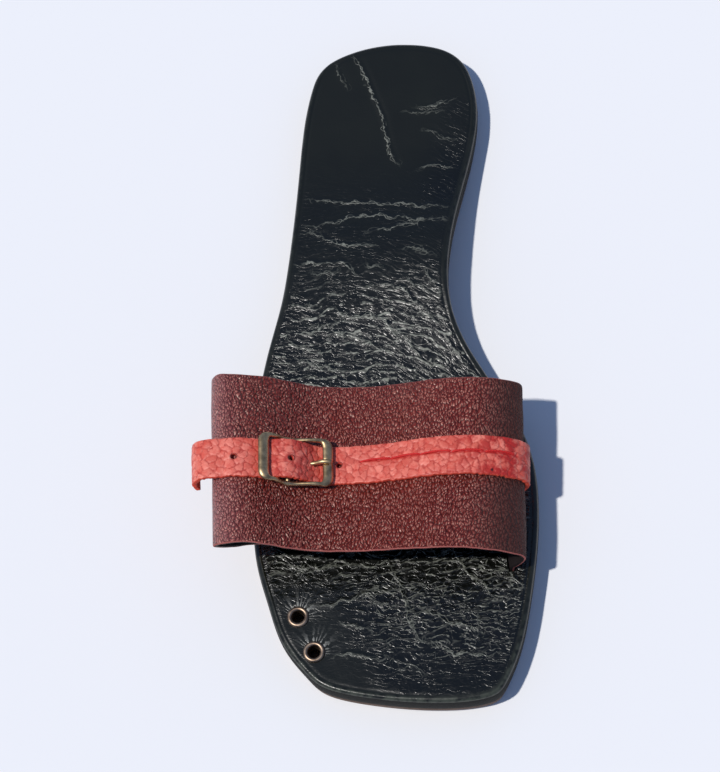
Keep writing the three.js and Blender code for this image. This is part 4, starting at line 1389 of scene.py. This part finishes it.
def make_buckle(material):
    """The ring with its wide end bars and dipped rails, and the centre bar under the strap."""
    corner = min(BUCKLE_CORNER, rail_reach, end_reach)
    loop = rounded_loop(end_reach, rail_reach, corner, BUCKLE_STATIONS)
    tangent = unit(np.roll(loop, -1, axis=0) - np.roll(loop, 1, axis=0))
    bar = smoothstep(np.abs(loop[:, 0]), end_reach - BUCKLE_CORNER, end_reach)
    boss = hump(loop[:, 0] - bar_x, 1.3) * (1 - bar)
    width = (RAIL_WIDTH + (END_BAR_WIDTH - RAIL_WIDTH) * bar) / 2 + BOSS_WIDTH * boss
    height = (RAIL_HEIGHT + (END_BAR_HEIGHT - RAIL_HEIGHT) * bar) / 2 + BOSS_HEIGHT * boss
    straight = end_reach - BUCKLE_CORNER + np.sign(bar_x - loop[:, 0]) * bar_x
    middle = end_height + (bar_z - end_height) * arch(loop[:, 0] - bar_x, straight)
    angles = around(BUCKLE_SIDES)
    out, up = np.cos(angles), np.sin(angles)
    ring = np.empty((BUCKLE_STATIONS, BUCKLE_SIDES, 3))
    ring[..., 0] = loop[:, None, 0] + tangent[:, None, 1] * out * width[:, None]
    ring[..., 1] = loop[:, None, 1] - tangent[:, None, 0] * out * width[:, None]
    ring[..., 2] = middle[:, None] + up * height[:, None]
    notch = hump(ring[..., 1], PRONG_DIAMETER / 2) * (ring[..., 0] > end_reach - END_BAR_WIDTH) * (up > 0.2)
    ring[..., 2] -= notch * NOTCH_DEPTH
    ring_faces = grid_faces(BUCKLE_STATIONS, BUCKLE_SIDES, close=True, loop=True)
    bar_line = [(bar_x, y, bar_z) for y in np.linspace(-rail_reach, rail_reach, 12)]
    bar_points, bar_faces = rod(bar_line, CENTRE_BAR_DIAMETER / 2)
    points, faces = joined([(on_buckle(ring.reshape(-1, 3)), ring_faces), (on_buckle(bar_points), bar_faces)])
    return outward(make_piece("buckle_frame_dressed", points, faces, [material]))


def make_prong(material):
    """The shank with a rounded tip, and its eye round the centre bar."""
    bends = [(bar_x + eye_radius - PRONG_EYE_WALL / 2, 0, bar_z)]
    for reach, rise in PRONG_PATH:
        bends.append((bar_x + (end_reach - bar_x) * reach, 0, bar_z + (notch_height - bar_z) * rise))
    bends.append((end_reach + PRONG_OVERHANG, 0, notch_height))
    curve = path_through(bends)
    shares = np.linspace(0, 1, SHANK_STATIONS)
    radius = PRONG_DIAMETER / 2 * (1 - 0.75 * smoothstep(shares, 0.965, 1.0))
    shank, shank_faces = rod(curve(np.linspace(0, curve.knots[-1], SHANK_STATIONS)), radius)
    turns = around(EYE_STATIONS)
    rings = around(EYE_SIDES)
    tube = (eye_radius - CENTRE_BAR_DIAMETER / 2 - GAP * 0.5) / 2
    out = eye_radius - tube + tube * np.cos(rings)
    eye = np.empty((EYE_STATIONS, EYE_SIDES, 3))
    eye[..., 0] = bar_x + np.cos(turns)[:, None] * out
    eye[..., 1] = PRONG_EYE_WIDTH / 2 * np.sin(rings)
    eye[..., 2] = bar_z + np.sin(turns)[:, None] * out
    eye_faces = grid_faces(EYE_STATIONS, EYE_SIDES, close=True, loop=True)
    points, faces = joined([(on_buckle(shank), shank_faces), (on_buckle(eye.reshape(-1, 3)), eye_faces)])
    return make_piece("buckle_prong_dressed", points, faces, [material])


def hole_distances():
    """Where the punched holes lie along the strap, counted from the one that the prong uses."""
    crossing = on_buckle([(bar_x + (end_reach - bar_x) * PRONG_HOLE_AT, 0, STRAP_THICKNESS)])[0]
    nearest = int(np.argmin(np.linalg.norm(strap_middle - crossing, axis=1)))
    prong = strap_middle_reach[nearest]
    return {hole: prong + hole * HOLE_PITCH for hole in range(-HOLES_TOWARDS_SLOT, HOLES_TOWARDS_TAIL + 1)}


def scale_cells(along, across):
    """The embossed scales: distance between the two nearest scale middles, and a tone for each scale."""
    random = np.random.default_rng(11)
    rows = []
    for i in range(-1, int(strap_length / SCALE_LENGTH) + 2):
        for j in range(-4, 5):
            shift = 0.5 * (i % 2)
            jitter = random.uniform(-0.42, 0.42, 2)
            place = (i + jitter[0]) * SCALE_LENGTH, (j + shift + jitter[1]) * SCALE_WIDTH
            rows.append((*place, random.uniform(0, 1)))
    tree = search_tree(rows)
    edge, tone = np.empty(len(along)), np.empty(len(along))
    for index, (a, b) in enumerate(zip(along, across)):
        bend = 0.7 * noise.noise((a * 0.6, b * 0.6, 3.3)) + 0.4 * noise.noise((a * 1.7, b * 1.7, 8.1))
        found = tree.find_n((a + bend, b - bend, 0), 2)
        edge[index] = found[1][2] - found[0][2]
        tone[index] = rows[found[0][1]][2]
    return edge, tone


def strap_marks(along, across):
    """How dark the strap is painted round its holes and at its pinhole, as painted shade, and how much deeper
    its red is along it.
    """
    dark = np.zeros_like(along)
    for distance in hole_distances().values():
        away = np.hypot(along - distance, across)
        dark = np.maximum(dark, 1 - smoothstep(away, HOLE_DIAMETER / 2, HOLE_DIAMETER / 2 + 0.35))
    pinhole_x, pinhole_across = PINHOLE
    away = np.hypot(along - distance_at(pinhole_x * BALL_WIDTH), across - pinhole_across)
    dark = np.maximum(dark, 1 - smoothstep(away, *PINHOLE_FADE))
    red_x, redness = np.array(RED[::-1]).T
    return dark, np.interp(along, [distance_at(x * BALL_WIDTH) for x in red_x], redness)


def strap_punches():
    """Rods to cut the strap's holes. The one under the prong is shorter."""
    punches = []
    for hole, distance in hole_distances().items():
        point, way = strap_frame(distance)
        reach = (2.2 if hole == 0 else 3) * STRAP_THICKNESS
        ends = [point + way * height for height in (-reach, 0, reach)]
        punches.append(outward(make_piece(f"punch_{hole}", *rod(ends, HOLE_DIAMETER / 2), [])))
    return punches


def make_strap(leather, edge_material):
    """A section round the strap at each station: the embossed top, its cut edges and its underside."""
    sides = np.linspace(-0.955, 0.955, STRAP_LANES)
    section = [(s, 1.0) for s in sides]
    section += [(0.985, 0.93), (1.0, 0.75), (1.0, 0.2), (0.985, 0.0)]
    section += [(s, 0.0) for s in sides[::-4]]
    section += [(-0.985, 0.0), (-1.0, 0.2), (-1.0, 0.75), (-0.985, 0.93)]
    side, rise = np.array(section).T
    under = strap_points(side, STRAP_STATIONS)
    across_way = unit(under[:, STRAP_LANES - 1] - under[:, 0])[:, None]
    up = unit(np.cross(np.gradient(under, axis=0), across_way))
    along = np.linspace(0, strap_length, STRAP_STATIONS)[:, None] * np.ones_like(side)
    across = side * STRAP_WIDTH / 2 * np.ones((STRAP_STATIONS, 1))
    flat = np.stack([along.ravel(), across.ravel()], axis=-1)
    groove, tone = scale_cells(along.ravel(), across.ravel())
    groove = groove.reshape(along.shape)
    start, stop = stitch_ends()
    seam = hump(across - STITCH_AT, SEAM_WIDTH) * smoothstep(along, start - 1, start)
    seam *= 1 - smoothstep(along, stop, stop + 1)
    top = (rise > 0.9) * np.ones_like(along)
    relief = (0.16 * smoothstep(groove, 0.05, 0.9) - 0.1 - SEAM_DEPTH * seam) * top
    relief += 0.1 * soft_noise(flat, 4.5, 2.2).reshape(along.shape)
    fray = soft_noise(flat * np.array([1, 0.1]), 0.9, 5.5).reshape(along.shape)
    fray *= (np.abs(side) > 0.97) * np.where(side > 0, *STRAP_FRAYS)
    points = under + up * (rise * STRAP_THICKNESS + relief)[..., None] + across_way * fray[..., None]
    count = len(section)
    faces = grid_faces(STRAP_STATIONS, count, close=True) + end_faces(STRAP_STATIONS, count)
    kind = [0] * STRAP_LANES + [1] * (count - STRAP_LANES - 1) + [0]
    kinds = kind * (STRAP_STATIONS - 1) + [1, 1]
    piece = make_piece("strap_dressed", points.reshape(-1, 3), faces, [leather, edge_material], kinds)
    set_map(piece, along.ravel(), across.ravel())
    dark, red = strap_marks(along, across)
    marks = {"groove": groove, "tone": tone, "red": red, "dark": dark, "seam": seam * top}
    for name, values in marks.items():
        set_attribute(piece, name, values.ravel())
    cut(outward(piece), strap_punches())
    return piece


STITCH_STATIONS = 40
THREAD_SIDES = 12


def make_stitches(material):
    """Long stitches along the strap, each a thread that dips into the leather at both ends."""
    stitches = []
    marks = np.linspace(*stitch_ends()[::-1], STITCHES + 1)
    shares = np.linspace(0, 1, STITCH_STATIONS)
    radius = THREAD_DIAMETER / 2 * (0.8 + 0.2 * np.sin(math.pi * shares))
    for start, stop in zip(marks, marks[1:]):
        line = []
        for share in shares:
            point, way = strap_frame(start + (stop - start) * share)
            dip = 1 - smoothstep(share, 0, 0.1) * (1 - smoothstep(share, 0.9, 1))
            bow = 0.35 * math.sin(math.pi * share) + 0.3 * share - STITCH_AT
            line.append(point + way * (STRAP_THICKNESS - 0.05 - 0.55 * dip) + np.array([0, bow, 0]))
        stitches.append(rod(line, radius, THREAD_SIDES))
    return make_piece("strap_stitches", *joined(stitches), [material])


# Eyelets

EYELET_SIDES = 72


def make_eyelet(name, x, y, z, material):
    """A rolled ring with its barrel down into the footbed."""
    bore, rim_radius = EYELET_BORE / 2, EYELET_DIAMETER / 2
    middle, half = (rim_radius + bore) / 2, (rim_radius - bore) / 2
    profile = [(bore, -EYELET_BARREL_DEPTH), (bore + EYELET_BARREL_WALL, -EYELET_BARREL_DEPTH)]
    profile += [(bore + EYELET_BARREL_WALL, 0.0), (middle, 0.6 * GAP), (rim_radius - 0.2, 0.6 * GAP)]
    for turn in np.radians(np.linspace(-20, 180, 16)):
        up = GAP + (EYELET_FLANGE_HEIGHT - GAP) * math.sin(turn)
        profile.append((middle + half * math.cos(turn), up))
    profile += [(bore, -0.6)]
    turns = around(EYELET_SIDES)
    points = [(x + r * math.cos(a), y + r * math.sin(a), z + h) for r, h in profile for a in turns]
    faces = grid_faces(len(profile), EYELET_SIDES, close=True, loop=True)
    return outward(make_piece(name + "_dressed", points, faces, [material]))


def keep(piece, node):
    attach(piece, "root")
    if node:
        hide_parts(node)


brass = aged_metal("antique_brass", (0.36, 0.25, 0.13), (0.6, 0.44, 0.24), (0.12, 0.075, 0.035))
bronze = aged_metal("antique_bronze", (0.2, 0.14, 0.1), (0.42, 0.31, 0.22), (0.06, 0.036, 0.024))

keep(make_outsole(outsole_leather()), "outsole")
keep(make_footbed([footbed_leather(), footbed_wall()]), "footbed")
keep(make_band(band_leather(), cut_edge(), band_lining()), "upper_band")
keep(make_strap(strap_leather(), strap_edge()), "belt_strap")
keep(make_stitches(strap_thread()), None)
keep(make_buckle(brass), "buckle_frame")
keep(make_prong(brass), "buckle_prong")
for eyelet_name, eyelet_x, eyelet_y, eyelet_z in eyelet_spots():
    keep(make_eyelet(eyelet_name, eyelet_x, eyelet_y, eyelet_z, bronze), eyelet_name)


# Floor, light and camera

FLOOR_REACH = 3.0


def make_floor():
    mesh = bpy.data.meshes.new("floor")
    corners = [(-FLOOR_REACH, -FLOOR_REACH, 0), (FLOOR_REACH, -FLOOR_REACH, 0)]
    corners += [(FLOOR_REACH, FLOOR_REACH, 0), (-FLOOR_REACH, FLOOR_REACH, 0)]
    mesh.from_pydata(corners, [], [(0, 1, 2, 3)])
    mesh.materials.append(Shader("floor", Roughness=0.9, Specular_IOR_Level=0.2).finish((0.85, 0.85, 0.85)))
    put("floor", mesh)


# How far the sun's rays lean for each step down, its size in degrees, and the sky's light
SUN_LEAN = (0.435, 0.19)
SUN_STRENGTH = 2.97
SUN_ANGLE = 2.2
SUN_COLOUR = (1.0, 0.966, 0.92)
SKY_COLOUR = (0.135, 0.2, 0.36, 1)


def make_light():
    sun = bpy.data.lights.new("key", "SUN")
    sun.energy = SUN_STRENGTH
    sun.angle = math.radians(SUN_ANGLE)
    sun.color = SUN_COLOUR
    put("key", sun).rotation_euler = Vector((*SUN_LEAN, -1)).to_track_quat("-Z", "Y").to_euler()
    world = bpy.data.worlds.new("studio")
    world.use_nodes = True
    world.node_tree.nodes["Background"].inputs["Color"].default_value = SKY_COLOUR
    bpy.context.scene.world = world


# The camera's place and aim in millimetres, its lean and turn in degrees, and its focal length in pixels
CAMERA_AT = np.array([36.74, -459.87, 738])
CAMERA_TILT = 24
CAMERA_TURN = 2.468
FOCAL_PIXELS = 2300
PICTURE_HEIGHT = 772
CAMERA_AIM = np.array([-15.06, -138, 12])


def make_camera():
    """The photograph's viewpoint and roll, panned so that the one sandal is in the middle."""
    tilt, turn = math.radians(CAMERA_TILT), math.radians(CAMERA_TURN)
    right = Vector((math.cos(turn), -math.sin(turn), 0))
    forward = Vector((math.sin(turn) * math.sin(tilt), math.cos(turn) * math.sin(tilt), -math.cos(tilt)))
    place = Vector((ORIGIN + CAMERA_AT) * MM)
    aim = (Vector((ORIGIN + CAMERA_AIM) * MM) - place).normalized()
    right.rotate(forward.rotation_difference(aim))
    up = right.cross(aim)
    data = bpy.data.cameras.new("camera")
    data.sensor_width = 36
    data.lens = FOCAL_PIXELS * data.sensor_width / PICTURE_HEIGHT
    data.clip_start = 0.01
    camera = put("camera", data)
    camera.matrix_world = Matrix.Translation(place) @ Matrix((right, up, -aim)).transposed().to_4x4()
    bpy.context.scene.camera = camera


make_floor()
make_light()
make_camera()
bpy.context.scene.view_settings.view_transform = "Standard"
